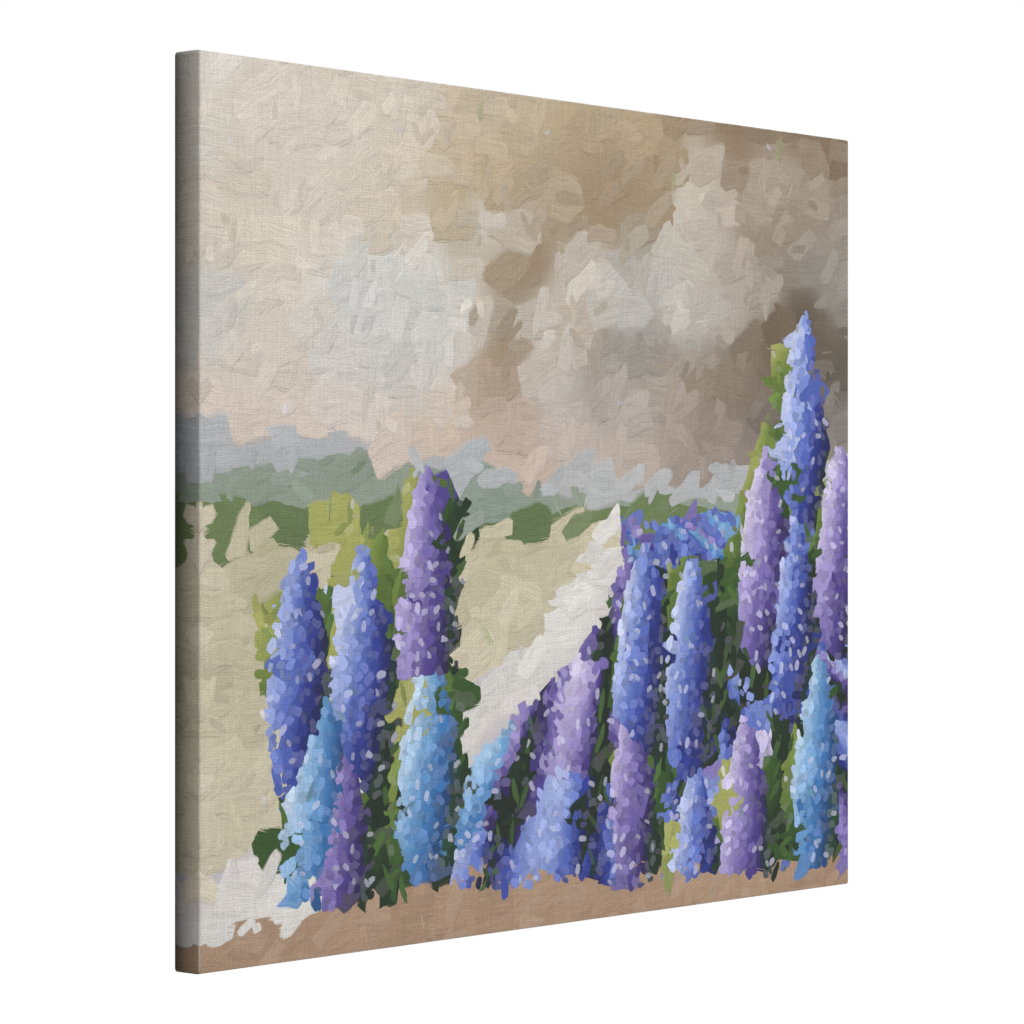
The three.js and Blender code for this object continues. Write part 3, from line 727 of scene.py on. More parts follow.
@dataclass(frozen=True)
class Pine(Wood):
    """Planed pine: pale early wood between thin darker late wood, fine fibres and small brown knots. The
    annual rings are circles round a pith outside the bar, so they show as long lines and flames."""

    pith: tuple[float, float]  # millimetres: its place across the bar's width and in depth
    knots: tuple[tuple[float, float, float], ...]  # millimetres: along, across and radius
    ring: float = 2.5  # millimetres between annual rings
    sway: float = 18.0  # millimetres by which the rings wander
    waves: tuple[float, float] = (0.0042, 0.02)  # how often, along and across the bar, per millimetre
    fibres: tuple[float, float] = (0.05, 2.4)  # how often the fibres change, along and across it
    knot: float = 1.35  # a knot's length for its width
    swirl: float = 2.6  # how many rings a knot pushes aside
    calming: float = 0.9  # how fast that dies down away from it

    def surface(self, tree: Tree) -> dict:
        """Rings, fibres and knots in Object coordinates."""
        place = self.place(tree)
        along, across, depth = place
        slow, fast = self.waves
        drawn = tree.add("CombineXYZ", ("MULTIPLY", along, slow), ("MULTIPLY", across, fast), 0.0)
        sway = tree.add("TexNoise", drawn, pick="Fac", inputs={"Scale": 1.0, "Detail": 1.0})
        from_pith = ("SUBTRACT", across, self.pith[0] + self.sway / 2)
        out = tree.value(("MULTIPLY_ADD", sway, self.sway, from_pith))
        deep = tree.value(("SUBTRACT", depth, self.pith[1]))
        radius = tree.value(("SQRT", ("ADD", ("POWER", out, 2.0), ("MULTIPLY", deep, deep))))
        heart = None
        for knot_along, knot_across, size in self.knots:
            dx = tree.value(("DIVIDE", ("SUBTRACT", along, knot_along), self.knot * size))
            dy = tree.value(("DIVIDE", ("SUBTRACT", across, knot_across), size))
            away = tree.value(("SQRT", ("MULTIPLY_ADD", dx, dx, ("MULTIPLY", dy, dy))))
            heart = away if heart is None else tree.value(("MINIMUM", heart, away))
        swirl = ("EXPONENT", ("MULTIPLY", heart, -self.calming))
        turns = tree.value(("MULTIPLY_ADD", swirl, self.swirl, ("DIVIDE", radius, self.ring)))
        late = tree.value(("FRACT", turns))
        wood = tree.add("ValToRGB", late, stops=((0.0, "#e3cfa8"), (0.6, "#e0c99e"), (0.82, "#d5b483"),
                                                 (0.93, "#c69e6d"), (0.98, "#d8bb8d"), (1.0, "#e2cda5")))
        fibre = self.streaks(tree, place, self.fibres, 3.0)
        light = tree.value(("MULTIPLY_ADD", fibre, 0.26, 0.86))
        wood = tree.add("HueSaturation", inputs={"Value": light, "Color": wood})
        stain = tree.add("MapRange", heart, 1.5, 0.85, 0.0, 0.9, **SMOOTH)
        colour = tree.add("Mix", stain, wood, "#7d5230", **COLOURS)
        dark = tree.add("MapRange", heart, 0.3, 0.0, 0.0, 0.7, **SMOOTH)
        colour = tree.add("Mix", dark, colour, "#4b2d1a", **COLOURS)
        height = tree.value(("MULTIPLY_ADD", late, 0.12, fibre))
        bump = tree.add("Bump", inputs={"Strength": 0.35, "Distance": 0.12 * MM, "Height": height})
        rough = tree.value(("MULTIPLY_ADD", late, -0.12, 0.72))
        return {"Base Color": colour, "Roughness": rough, "Normal": bump, "IOR": 1.5,
                "Specular IOR Level": 0.35}


@dataclass(frozen=True)
class Beech(Wood):
    """Sawn beech: an even pinkish brown with short dark flecks along the grain."""

    fibres: tuple[float, float] = (0.06, 1.6)  # how often they change along and across it, per millimetre
    flecks: tuple[float, float] = (0.45, 3.2)

    def surface(self, tree: Tree) -> dict:
        """Fine fibres and flecks in Object coordinates."""
        place = self.place(tree)
        fibre = self.streaks(tree, place, self.fibres, 2.0)
        dark = self.streaks(tree, place, self.flecks, 2.0)
        wood = tree.add("ValToRGB", fibre, stops=((0.3, "#b98a5f"), (0.7, "#d3a97c")))
        fleck = tree.add("MapRange", dark, 0.60, 0.68, 0.0, 0.7)
        colour = tree.add("Mix", fleck, wood, "#8f6240", **COLOURS)
        bump = tree.add("Bump", inputs={"Strength": 0.4, "Distance": 0.1 * MM, "Height": dark})
        return {"Base Color": colour, "Roughness": 0.7, "Normal": bump, "Specular IOR Level": 0.3}


@dataclass(frozen=True)
class PlatedMetal(Finish):
    """Thin bright plating over pressed or drawn metal: a mirror blurred by fine scratches, with duller
    patches where it was handled."""

    colour: str
    worn: str
    rough: float
    scratches: tuple[float, float, float]  # how fine the scratches are along X, Y and Z, per metre

    def surface(self, tree: Tree) -> dict:
        """Scratches and dull patches in Object coordinates."""
        place = tree.add("TexCoord", pick="Object")
        fine = tree.add("VectorMath", place, self.scratches, operation="MULTIPLY")
        scratch = tree.add("TexNoise", fine, pick="Fac", inputs={"Scale": 1.0, "Detail": 3.0})
        patch = tree.add("TexNoise", place, pick="Fac", inputs={"Scale": 260.0, "Detail": 3.0})
        dull = tree.add("MapRange", patch, 0.42, 0.66, 0.0, 1.0, **SMOOTH)
        colour = tree.add("Mix", dull, self.colour, self.worn, **COLOURS)
        rough = ("MULTIPLY_ADD", scratch, 0.2, self.rough - 0.1)
        rough = tree.value(("ADD", rough, ("MULTIPLY", dull, 0.12)))
        bump = tree.add("Bump", inputs={"Strength": 0.25, "Distance": 0.03 * MM, "Height": scratch})
        return {"Base Color": colour, "Metallic": 1.0, "Roughness": rough, "Normal": bump}


@dataclass(frozen=True)
class Felt(Finish):
    """Pressed wool felt, grey, with lighter stray fibres and no gloss."""

    def surface(self, tree: Tree) -> dict:
        """Tangled fibres in Object coordinates, as strongly bent noise."""
        place = tree.add("TexCoord", pick="Object")
        tangle = tree.add("TexNoise", place, pick="Fac",
                          inputs={"Scale": 900.0, "Detail": 4.0, "Roughness": 0.7, "Distortion": 2.5})
        colour = tree.add("ValToRGB", tangle, stops=((0.35, "#3d3b39"), (0.55, "#5d5a56"), (0.75, "#98948c")))
        bump = tree.add("Bump", inputs={"Strength": 0.9, "Distance": 0.25 * MM, "Height": tangle})
        return {"Base Color": colour, "Roughness": 1.0, "Normal": bump, "Specular IOR Level": 0.1,
                "Sheen Weight": 0.5, "Sheen Roughness": 0.5}


# ---------------------------------------------------------------------------------------------------------
# Meshes
# ---------------------------------------------------------------------------------------------------------


def object_of(data: ID, *finishes: Finish) -> Object:
    """Puts a mesh, lamp or camera into the scene, as an object at the origin.

    Args:
        data: What the object shows. It gets the same name.
        finishes: The finishes of a mesh's material slots.

    Returns:
        The object.
    """
    made = bpy.data.objects.new(data.name, data)
    bpy.context.scene.collection.objects.link(made)
    for finish in finishes:
        data.materials.append(finish.material())
    return made


def smooth_object(name: str, points: np.ndarray, faces: list, *finishes: Finish) -> Object:
    """A smoothly shaded object at the origin.

    Args:
        name: Its name.
        points: Its vertices in metres, of any shape that ends in 3.
        faces: Its faces, as lists of vertex numbers.
        finishes: The finishes of its material slots.

    Returns:
        The object.
    """
    mesh = bpy.data.meshes.new(name)
    mesh.from_pydata(points.reshape(-1, 3).tolist(), [], faces)
    mesh.polygons.foreach_set("use_smooth", np.ones(len(mesh.polygons), bool))
    mesh.validate()
    return object_of(mesh, *finishes)


def piece(made: Object, slot: str, *nodes: str) -> Object:
    """Makes an object a piece of the picture, which rides with it.

    Args:
        made: The object.
        slot: The record's material slot. It is not used.
        nodes: The nodes of the frame that it replaces.

    Returns:
        The object.
    """
    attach(made, BODY)
    if nodes:
        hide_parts(*nodes)
    return made


def tubes(name: str, points: np.ndarray, finish: Finish, slot: str, *nodes: str) -> Object:
    """A smooth piece of closed tubes: a quad for each step along and around a tube, and a cap at each of its
    ends. All faces are turned outwards.

    Args:
        name: The piece's name.
        points: Its points in metres, as [tube, station, around, 3].
        finish: Its finish.
        slot: The record's material slot.
        nodes: The nodes of the frame that it replaces.

    Returns:
        The piece.
    """
    number = np.arange(points[..., 0].size).reshape(points.shape[:3])
    after = np.roll(number, -1, axis=2)
    quads = np.stack([number[:, :-1], after[:, :-1], after[:, 1:], number[:, 1:]], axis=-1)
    caps = np.concatenate([number[:, 0, ::-1], number[:, -1]])
    made = smooth_object(name, points, [*quads.reshape(-1, 4).tolist(), *caps.tolist()], finish)
    work = bmesh.new()
    work.from_mesh(made.data)
    bmesh.ops.recalc_face_normals(work, faces=work.faces)
    work.to_mesh(made.data)
    work.free()
    return piece(made, slot, *nodes)


def swept(path: np.ndarray, side: np.ndarray, up: np.ndarray, section: np.ndarray) -> np.ndarray:
    """Carries sections along paths: a point is path + side * a + up * b for each point (a, b) of the section.

    Args:
        path: The paths' points, as [tube, station, 3].
        side: The first direction of the section, of a shape that spreads to the path's.
        up: The second one.
        section: The section's points, as [around, 2] or [tube, station, around, 2].

    Returns:
        The tubes' points, as [tube, station, around, 3].
    """
    side, up = np.broadcast_to(side, path.shape), np.broadcast_to(up, path.shape)
    a, b = section[..., 0, None], section[..., 1, None]
    return path[:, :, None] + side[:, :, None] * a + up[:, :, None] * b


def turned(profile: np.ndarray, middle: np.ndarray, steps: int) -> np.ndarray:
    """Turns a profile round a line along Y: a point is (x + r sin t, y, z + r cos t) for t round the circle.

    Args:
        profile: Its points (radius, y), in metres.
        middle: The line's x and z.
        steps: The points round the circle.

    Returns:
        The points, as [1, station, around, 3].
    """
    t = np.linspace(0, 2 * np.pi, steps, endpoint=False)
    r, y = profile[:, :1], profile[:, 1:]
    ring = [middle[0] + r * np.sin(t), y + 0 * t, middle[1] + r * np.cos(t)]
    return np.stack(ring, axis=-1)[None]


def points_of(node: str) -> np.ndarray:
    """The vertices of a node of the frame, as [vertex, 3]."""
    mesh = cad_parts[node].data
    made = np.zeros(len(mesh.vertices) * 3, np.float32)
    mesh.vertices.foreach_get("co", made)
    return made.reshape(-1, 3).astype(float)


def smooth_step(x: np.ndarray) -> np.ndarray:
    """0 below 0, 1 above 1 and 3 x^2 - 2 x^3 between."""
    x = np.clip(x, 0, 1)
    return x * x * (3 - 2 * x)


# ---------------------------------------------------------------------------------------------------------
# The canvas
# ---------------------------------------------------------------------------------------------------------


@dataclass(frozen=True)
class Columns:
    """The sheet's columns of vertices, counter-clockwise round the frame from the right, as arrays."""

    ax: np.ndarray  # the place between the middles of the corners' arcs, -1 to 1
    az: np.ndarray
    nx: np.ndarray  # the outward direction
    nz: np.ndarray
    side: np.ndarray  # 0 right, 1 top, 2 left and 3 bottom


@dataclass(frozen=True)
class Rings:
    """The sheet's rings of vertices, from the front's middle to the cut edge, as arrays."""

    inset: np.ndarray  # in from the outline
    y: np.ndarray
    out: np.ndarray  # the share of the way out of the cloth that leads out of the outline
    facing: np.ndarray  # and the share along Y: -1 on the front, 1 on the flap
    reach: np.ndarray  # the length of cloth past the front's edge

    @property
    def on_front(self) -> np.ndarray:
        """Which rings lie on the front, as [ring, 1]."""
        return (self.facing < -0.999)[:, None]

    @property
    def on_flap(self) -> np.ndarray:
        """Which rings lie on the flap, as [ring, 1]."""
        return (self.facing > 0.999)[:, None]


@dataclass(frozen=True)
class Canvas:
    """One sheet of canvas over the front and sides, turned over the back, with folded corners. Its outer face
    is a profile from the front to the cut edge, carried round the frame with mitred corners."""

    low: Vector
    high: Vector
    finish: PrintedCanvas
    inside: RawCotton
    edge: CutEdge
    thick: float = 0.6 * MM
    bend: float = 1.0 * MM  # radius where it turns over the bars' edges
    corner: float = 1.7 * MM  # radius where it turns round the frame's corners
    mitre: float = 0.15 * MM  # the least radius further in
    flap: float = 22 * MM
    fold: float = 20 * MM  # how far a folded corner reaches along the long sides
    fold_rise: float = 0.45 * MM
    fold_solid: float = 0.5 * MM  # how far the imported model's folded corners stand out of the cloth's back
    fold_end: float = 0.3  # where a fold starts to rise at its corner, as a share of the corner's radius
    fold_ramp: float = 0.5  # and over how much of it
    crease: float = 1.6 * MM  # width of a soft fold line
    border: float = 3 * MM  # the flap lies flat up to here, and the front too
    hollow: float = 0.45 * MM  # how far the front lies back between the bars
    hollow_reach: float = 60 * MM
    lift: float = 0.28 * MM  # how far the flap stands off the wood at its staples
    lift_reach: float = 6 * MM
    puff: float = 0.22 * MM  # and how much more between them
    pinch: float = 4.5 * MM  # how far a staple's pinch reaches
    ragged: float = 0.35 * MM  # how far the cut edge strays
    # It strays by two sines: each one's share, its waves round the frame and its phase.
    strays: tuple[tuple[float, int, float], ...] = ((0.6, 37, 1.0), (0.4, 91, 2.0))
    loose: float = 0.2  # the share of the flap that strays with it
    pitch: float = 2.8 * MM  # between the columns of vertices
    gather: float = 1.25  # above 1, they lie closer near the corners
    turn_steps: int = 6  # of vertices round a bend or a corner
    side_steps: int = 7
    # The rings on the front and the flap, in millimetres in from the outline.
    front_rings: tuple[float, ...] = (200, 150, 100, 60, 40, 25, 12, 5)
    flap_rings: tuple[float, ...] = (3, 5, 7, 8.5, 10, 11, 12, 13, 14, 15.5, 17, 18.5, 20, 21.3, 22)

    @property
    def wide(self) -> float:
        """The picture's width."""
        return self.high.x - self.low.x

    @property
    def tall(self) -> float:
        """The picture's height."""
        return self.high.z - self.low.z

    @property
    def front(self) -> float:
        """The front's y."""
        return self.low.y

    @property
    def back(self) -> float:
        """The y of the back of the cloth, off its folds."""
        return self.high.y - self.fold_solid

    @property
    def flat(self) -> tuple[float, float]:
        """The size the sheet was cut to: the front, twice the depth and twice the flap, less what the four
        bends across it save, each (4 - pi) / 2 times its radius."""
        over = 2 * (self.back - self.front + self.flap) - 4 * (4 - math.pi) / 2 * self.bend
        return self.wide + over, self.tall + over

    def columns(self) -> Columns:
        """Columns along the four sides, each with half of the arc at both of its corners."""
        quarter, half_arc = np.pi / 2, self.turn_steps // 2 + 1
        parts = []
        for side in range(4):
            turn = side * quarter
            n = np.array([np.cos(turn), np.sin(turn)])
            t = np.array([-n[1], n[0]])
            length = self.tall if side % 2 == 0 else self.wide
            f = np.linspace(-1, 1, int(round(length / self.pitch)) + 1)
            f = np.sign(f) * (1 - (1 - np.abs(f)) ** self.gather)
            start = np.linspace(turn - quarter / 2, turn, half_arc)[:-1]
            end = np.linspace(turn, turn + quarter / 2, half_arc)[1:-1]
            angle = np.concatenate([start, np.full(len(f), turn), end])
            along = np.concatenate([np.full(len(start), -1.0), f, np.full(len(end), 1.0)])
            a = n + along[:, None] * t
            parts.append(np.stack([a[:, 0], a[:, 1], np.cos(angle), np.sin(angle), np.full(len(a), side)]))
        return Columns(*np.concatenate(parts, axis=1))

    def rings(self) -> Rings:
        """Rings over the front, round its edge, down the side, round the back's edge and over the flap."""
        t = np.linspace(0, np.pi / 2, self.turn_steps + 1)
        e = self.bend
        inner = np.array(self.front_rings) * MM
        side = np.linspace(self.front + e, self.back - e, self.side_steps + 1)[1:-1]
        flap = np.array(self.flap_rings) / self.flap_rings[-1] * self.flap
        stretches = (
            (inner, self.front, 0.0, -1.0),
            (e - e * np.sin(t), self.front + e - e * np.cos(t), np.sin(t), -np.cos(t)),
            (0.0, side, 1.0, 0.0),
            (e - e * np.cos(t), self.back - e + e * np.sin(t), np.cos(t), np.sin(t)),
            (flap, self.back, 0.0, 1.0),
        )
        inset, y, out, facing = np.concatenate([np.broadcast_arrays(*s) for s in stretches], axis=1)
        reach = np.concatenate([[0.0], np.cumsum(np.hypot(np.diff(inset), np.diff(y)))])
        return Rings(inset, y, out, facing, reach - reach[len(inner)] - e)

    def staples(self) -> np.ndarray:
        """The middles of the staples' crowns, as [staple, (x, z)]."""
        crowns = [Crown.of(node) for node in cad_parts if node.startswith("staple_")]
        return np.array([[crown.middle[0], crown.middle[2]] for crown in crowns])

    def relief(self, c: Columns, r: Rings, x: np.ndarray, z: np.ndarray) -> np.ndarray:
        """How far the cloth stands out at each ring and column. On the long sides a triangle next to each
        corner is raised by the pleat below it, on the side and on the back. The flap is lifted a little,
        pinched by a bell-shaped dip at each staple. The front lies back by a smooth step inwards.

        Args:
            c: The columns.
            r: The rings.
            x: The vertices' x before it, as [ring, column].
            z: Their z.

        Returns:
            The distance along the way out, as [ring, column].
        """
        inset = r.inset[:, None]
        from_end = self.high.x - np.abs(x)
        from_front = r.y[:, None] - self.front
        pleated = (c.side % 2 == 1) & ((r.out > 0) | (r.facing > 0))[:, None]
        pleat = smooth_step((from_front * self.fold / (self.back - self.front) - from_end) / self.crease)
        end = smooth_step((from_end - self.fold_end * self.corner) / (self.fold_ramp * self.corner))
        rise = np.where(pleated, self.fold_rise * pleat * end, 0.0)
        beyond = smooth_step((inset - self.border) / self.lift_reach) * r.on_flap
        x0, z0 = self.staples().T
        gap = np.hypot(x[..., None] - x0, z[..., None] - z0).min(axis=-1)
        dip = np.exp(-((gap / self.pinch) ** 2))
        rise = rise + beyond * (self.lift + self.puff * (1 - dip))
        dish = self.hollow * smooth_step((inset - self.border) / self.hollow_reach)
        return np.where(r.on_front, -dish, rise)

    def build(self) -> Object:
        """The sheet as one mesh, given its thickness by Solidify. The end of the flap strays as the cut edge
        does."""
        c, r = self.columns(), self.rings()
        middle = (self.low + self.high) / 2
        count = len(c.ax)
        turn = np.arange(count) * 2 * np.pi / count
        stray = self.ragged * sum(share * np.sin(waves * turn + phase) for share, waves, phase in self.strays)
        inset = r.inset[:, None]
        strayed = smooth_step((inset - (1 - self.loose) * self.flap) / (self.loose * self.flap)) * r.on_flap
        inset = inset + strayed * stray
        radius = np.maximum(self.corner - inset, self.mitre)
        x = middle.x + c.ax * (self.wide / 2 - inset - radius) + radius * c.nx
        z = middle.z + c.az * (self.tall / 2 - inset - radius) + radius * c.nz
        rise = self.relief(c, r, x, z)
        out = rise * r.out[:, None]
        y = r.y[:, None] + rise * r.facing[:, None]
        points = np.stack([x + out * c.nx, y, z + out * c.nz], axis=-1)
        number = np.arange(x.size).reshape(x.shape)
        after = np.roll(number, -1, axis=1)
        quads = np.stack([number[:-1], number[1:], after[1:], after[:-1]], axis=-1).reshape(-1, 4)
        faces = [*quads.tolist(), number[0].tolist()]
        made = smooth_object("canvas_sheet", points, faces, self.finish, self.inside, self.edge)
        self.lay_out(made, c, r, quads, points)
        solid = made.modifiers.new("thickness", "SOLIDIFY")
        solid.thickness = self.thick
        solid.offset = -1.0
        solid.material_offset = 1
        solid.material_offset_rim = 2
        return piece(made, "printed_canvas", "canvas")

    def lay_out(self, made: Object, c: Columns, r: Rings, quads: np.ndarray, points: np.ndarray) -> None:
        """Gives the sheet the coordinates of the flat cloth, in units of the picture's height from its lower
        left corner. Past an edge the one across it goes on by the cloth's reach.

        Args:
            made: The sheet.
            c: Its columns.
            r: Its rings.
            quads: Its faces, without the one in the front's middle.
            points: Its vertices, as [ring, column, 3].
        """
        count = len(c.ax)
        x, z = points[..., 0].ravel() - self.low.x, points[..., 2].ravel() - self.low.z
        reach = np.repeat(r.reach, count)[quads]
        side = np.tile(c.side, len(r.reach))[quads[:, 0]][:, None]
        beyond = reach > -self.bend
        u, v = x[quads], z[quads]
        u = np.where(beyond & (side == 0), self.wide + reach, u)
        u = np.where(beyond & (side == 2), -reach, u)
        v = np.where(beyond & (side == 1), self.tall + reach, v)
        v = np.where(beyond & (side == 3), -reach, v)
        cloth = np.concatenate([np.stack([u.ravel(), v.ravel()], 1), np.stack([x[:count], z[:count]], 1)])
        layer = made.data.uv_layers.new(name=SHEET_UV)
        layer.data.foreach_set("uv", (cloth / self.tall).ravel())


@dataclass(frozen=True)
class Fraying:
    """Loose thread ends along the canvas's cut edge: thin tubes that bend and droop onto the wood."""

    sheet: Canvas
    finish: CottonThread
    seed: int = 7
    every: float = 1.7 * MM
    radius: float = 0.11 * MM
    bare: float = 8 * MM  # the length without threads at an edge's two ends
    root: float = 0.9 * MM  # the part of a thread in the cloth
    longest: float = 5.0 * MM
    shortest: float = 0.1  # the third root of the shortest one's share of the longest
    curl: float = 0.45  # how far the threads usually bend aside, for their length
    drop: float = 0.42 * MM
    under: float = 0.05 * MM  # how deep in the cloth they start at least
    deeper: float = 0.2 * MM  # and how much deeper at most
    stations: int = 5
    around: int = 4

    def build(self) -> Object:
        """The threads, at random places on the four edges. A thread runs inwards by its length, aside by a
        curl that grows as the square of the way along, and down by the 1.5th power of that way."""
        draws = np.random.default_rng(self.seed)
        s = self.sheet
        half = np.array([s.wide, s.tall]) / 2 - s.flap
        lengths = 2 * half[[1, 0, 1, 0]]
        side = np.repeat(np.arange(4), (lengths / self.every).astype(int))
        count = len(side)
        n = np.stack([np.cos(side * np.pi / 2), np.sin(side * np.pi / 2)], axis=1).round()
        t = np.stack([-n[:, 1], n[:, 0]], axis=1)
        along = draws.uniform(-0.5, 0.5, count) * (lengths[side] - self.bare)
        edge = half[side % 2] + self.root
        length = self.longest * draws.uniform(self.shortest, 1.0, count) ** 3 + self.root
        curl = draws.normal(0, self.curl, count) * length
        start = s.back - self.under - self.deeper * draws.uniform(0, 1, count)
        f = np.linspace(0, 1, self.stations)[None, :, None]
        inwards = (edge[:, None, None] - length[:, None, None] * f) * n[:, None]
        flat = inwards + (along[:, None, None] + curl[:, None, None] * f**2) * t[:, None]
        y = start[:, None] - self.drop * f[..., 0] ** 1.5
        middle = (s.low + s.high) / 2
        path = np.stack([middle.x + flat[..., 0], y, middle.z + flat[..., 1]], axis=-1)
        across = np.stack([t[:, 0], np.zeros(count), t[:, 1]], axis=1)[:, None]
        angle = np.linspace(0, 2 * np.pi, self.around, endpoint=False)
        section = self.radius * np.stack([np.sin(angle), np.cos(angle)], axis=1)
        return tubes("frayed_threads", swept(path, across, TO_WALL, section), self.finish, "printed_canvas")


# ---------------------------------------------------------------------------------------------------------
# Wood
# ---------------------------------------------------------------------------------------------------------


@dataclass(frozen=True)
class Woodwork:
    """Bars and keys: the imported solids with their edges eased, as planed and sanded wood has them."""

    ease: float = 0.35 * MM
    segments: int = 2  # across an eased edge
    longest_small: float = 3.0 * MM  # edges shorter than this, such as a staple hole's, stay sharp
    merged: float = 0.002 * MM  # points closer than this are one
    flat_angle: float = math.radians(1.0)
    sharp_angle: float = math.radians(30.0)

    def build(self, name: str, node: str, finish: Finish, slot: str) -> Object:
        """A merged copy of a node with bevelled edges.

        Args:
            name: The piece's name.
            node: The node that it replaces.
            finish: Its finish.
            slot: The record's material slot.

        Returns:
            The piece.
        """
        work = bmesh.new()
        work.from_mesh(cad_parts[node].data)
        bmesh.ops.remove_doubles(work, verts=work.verts, dist=self.merged)
        bmesh.ops.dissolve_limit(work, angle_limit=self.flat_angle, verts=work.verts, edges=work.edges,
                                 use_dissolve_boundaries=False)
        weight = work.edges.layers.float.new("bevel_weight_edge")
        for edge in work.edges:
            sharp = edge.calc_face_angle(0.0) > self.sharp_angle
            edge[weight] = float(sharp and edge.calc_length() > self.longest_small)
        mesh = bpy.data.meshes.new(name)
        work.to_mesh(mesh)
        work.free()
        mesh.polygons.foreach_set("use_smooth", np.zeros(len(mesh.polygons), bool))
        made = object_of(mesh, finish)
        bevel = made.modifiers.new("eased edges", "BEVEL")
        bevel.limit_method = "WEIGHT"
        bevel.width = self.ease
        bevel.segments = self.segments
        bevel.use_clamp_overlap = False
        return piece(made, slot, node)


# ---------------------------------------------------------------------------------------------------------
# Staples, hanger, pins and pads
# ---------------------------------------------------------------------------------------------------------

CENTRE = 0.05  # where the first ring of a turned face lies, as a share of the way out; a small cap closes it


@dataclass(frozen=True)
class Crown:
    """Where a staple lies: the middle of its crown's outer face, and the way that the crown runs."""

    middle: np.ndarray
    way: np.ndarray
    tip: float  # the y of its legs' points

    @classmethod
    def of(cls, node: str, deep: float = 0.4 * MM) -> "Crown":
        """The crown of a staple's node, from its outermost points and their longest direction.

        Args:
            node: The staple's node.
            deep: How far in the points still belong to the crown.

        Returns:
            The crown.
        """
        points = points_of(node)
        crown = points[points[:, 1] > points[:, 1].max() - deep]
        middle = (crown.min(axis=0) + crown.max(axis=0)) / 2
        middle[1] = points[:, 1].max()
        spread = (crown - crown.mean(axis=0)) * (1 - TO_WALL)
        way = np.linalg.svd(spread, full_matrices=False)[2][0]
        return cls(middle, way, float(points[:, 1].min()))


@dataclass(frozen=True)
class Staples:
    """A row of staples: flattened wire bent round two corners, a crown over the cloth and legs in the
    wood."""

    finish: PlatedMetal
    crown: float = 10 * MM
    wire: float = 0.55 * MM
    band: float = 1.2 * MM
    bend: float = 0.75 * MM  # radius of the wire's middle at the corners
    bend_steps: int = 4
    rounding: float = 0.18 * MM  # of the wire's own edges
    around: int = 12
    usual_leg: float = 4 * MM  # sets how the wire's section turns over from the bends to the legs

    def path(self, leg: float) -> np.ndarray:
        """A staple's middle line in its own plane, as (along, depth) from the crown's outer face.

        Args:
            leg: How deep its legs go.

        Returns:
            The points, from one leg's end to the other's.
        """
        half = self.crown / 2 - self.wire / 2
        t = np.linspace(0, np.pi / 2, self.bend_steps + 1)
        corner_x = half - self.bend + self.bend * np.sin(t)
        corner_y = self.wire / 2 + self.bend - self.bend * np.cos(t)
        right = np.stack([corner_x, corner_y], axis=1)
        left = right[::-1] * np.array([-1, 1])
        return np.concatenate([[[-half, leg]], left, right, [[half, leg]]])

    def section(self) -> np.ndarray:
        """The flattened wire's section, a rectangle with round corners, as (across, through)."""
        t = np.linspace(0, 2 * np.pi, self.around, endpoint=False) + np.pi / self.around
        a = (self.band / 2 - self.rounding) * np.sign(np.cos(t)) + self.rounding * np.cos(t)
        b = (self.wire / 2 - self.rounding) * np.sign(np.sin(t)) + self.rounding * np.sin(t)
        return np.stack([a, b], axis=1)

    def build(self, side: str) -> Object:
        """One row of staples.

        Args:
            side: The side of the picture, as its nodes name it.

        Returns:
            The piece.
        """
        nodes = [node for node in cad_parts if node.startswith(f"staple_{side}_")]
        crowns = [Crown.of(node) for node in nodes]
        middle = np.array([crown.middle for crown in crowns])[:, None]
        way = np.array([crown.way for crown in crowns])[:, None]
        plans = np.array([self.path(crown.middle[1] - crown.tip) for crown in crowns])
        step = np.gradient(self.path(self.usual_leg), axis=0)
        step /= np.linalg.norm(step, axis=1, keepdims=True)
        paths = middle + plans[..., :1] * way - plans[..., 1:] * TO_WALL
        through = step[:, 1:] * way + step[:, :1] * TO_WALL
        points = swept(paths, np.cross(way, TO_WALL), through, self.section())
        return tubes(f"staples_{side}", points, self.finish, "staple_steel", *nodes)


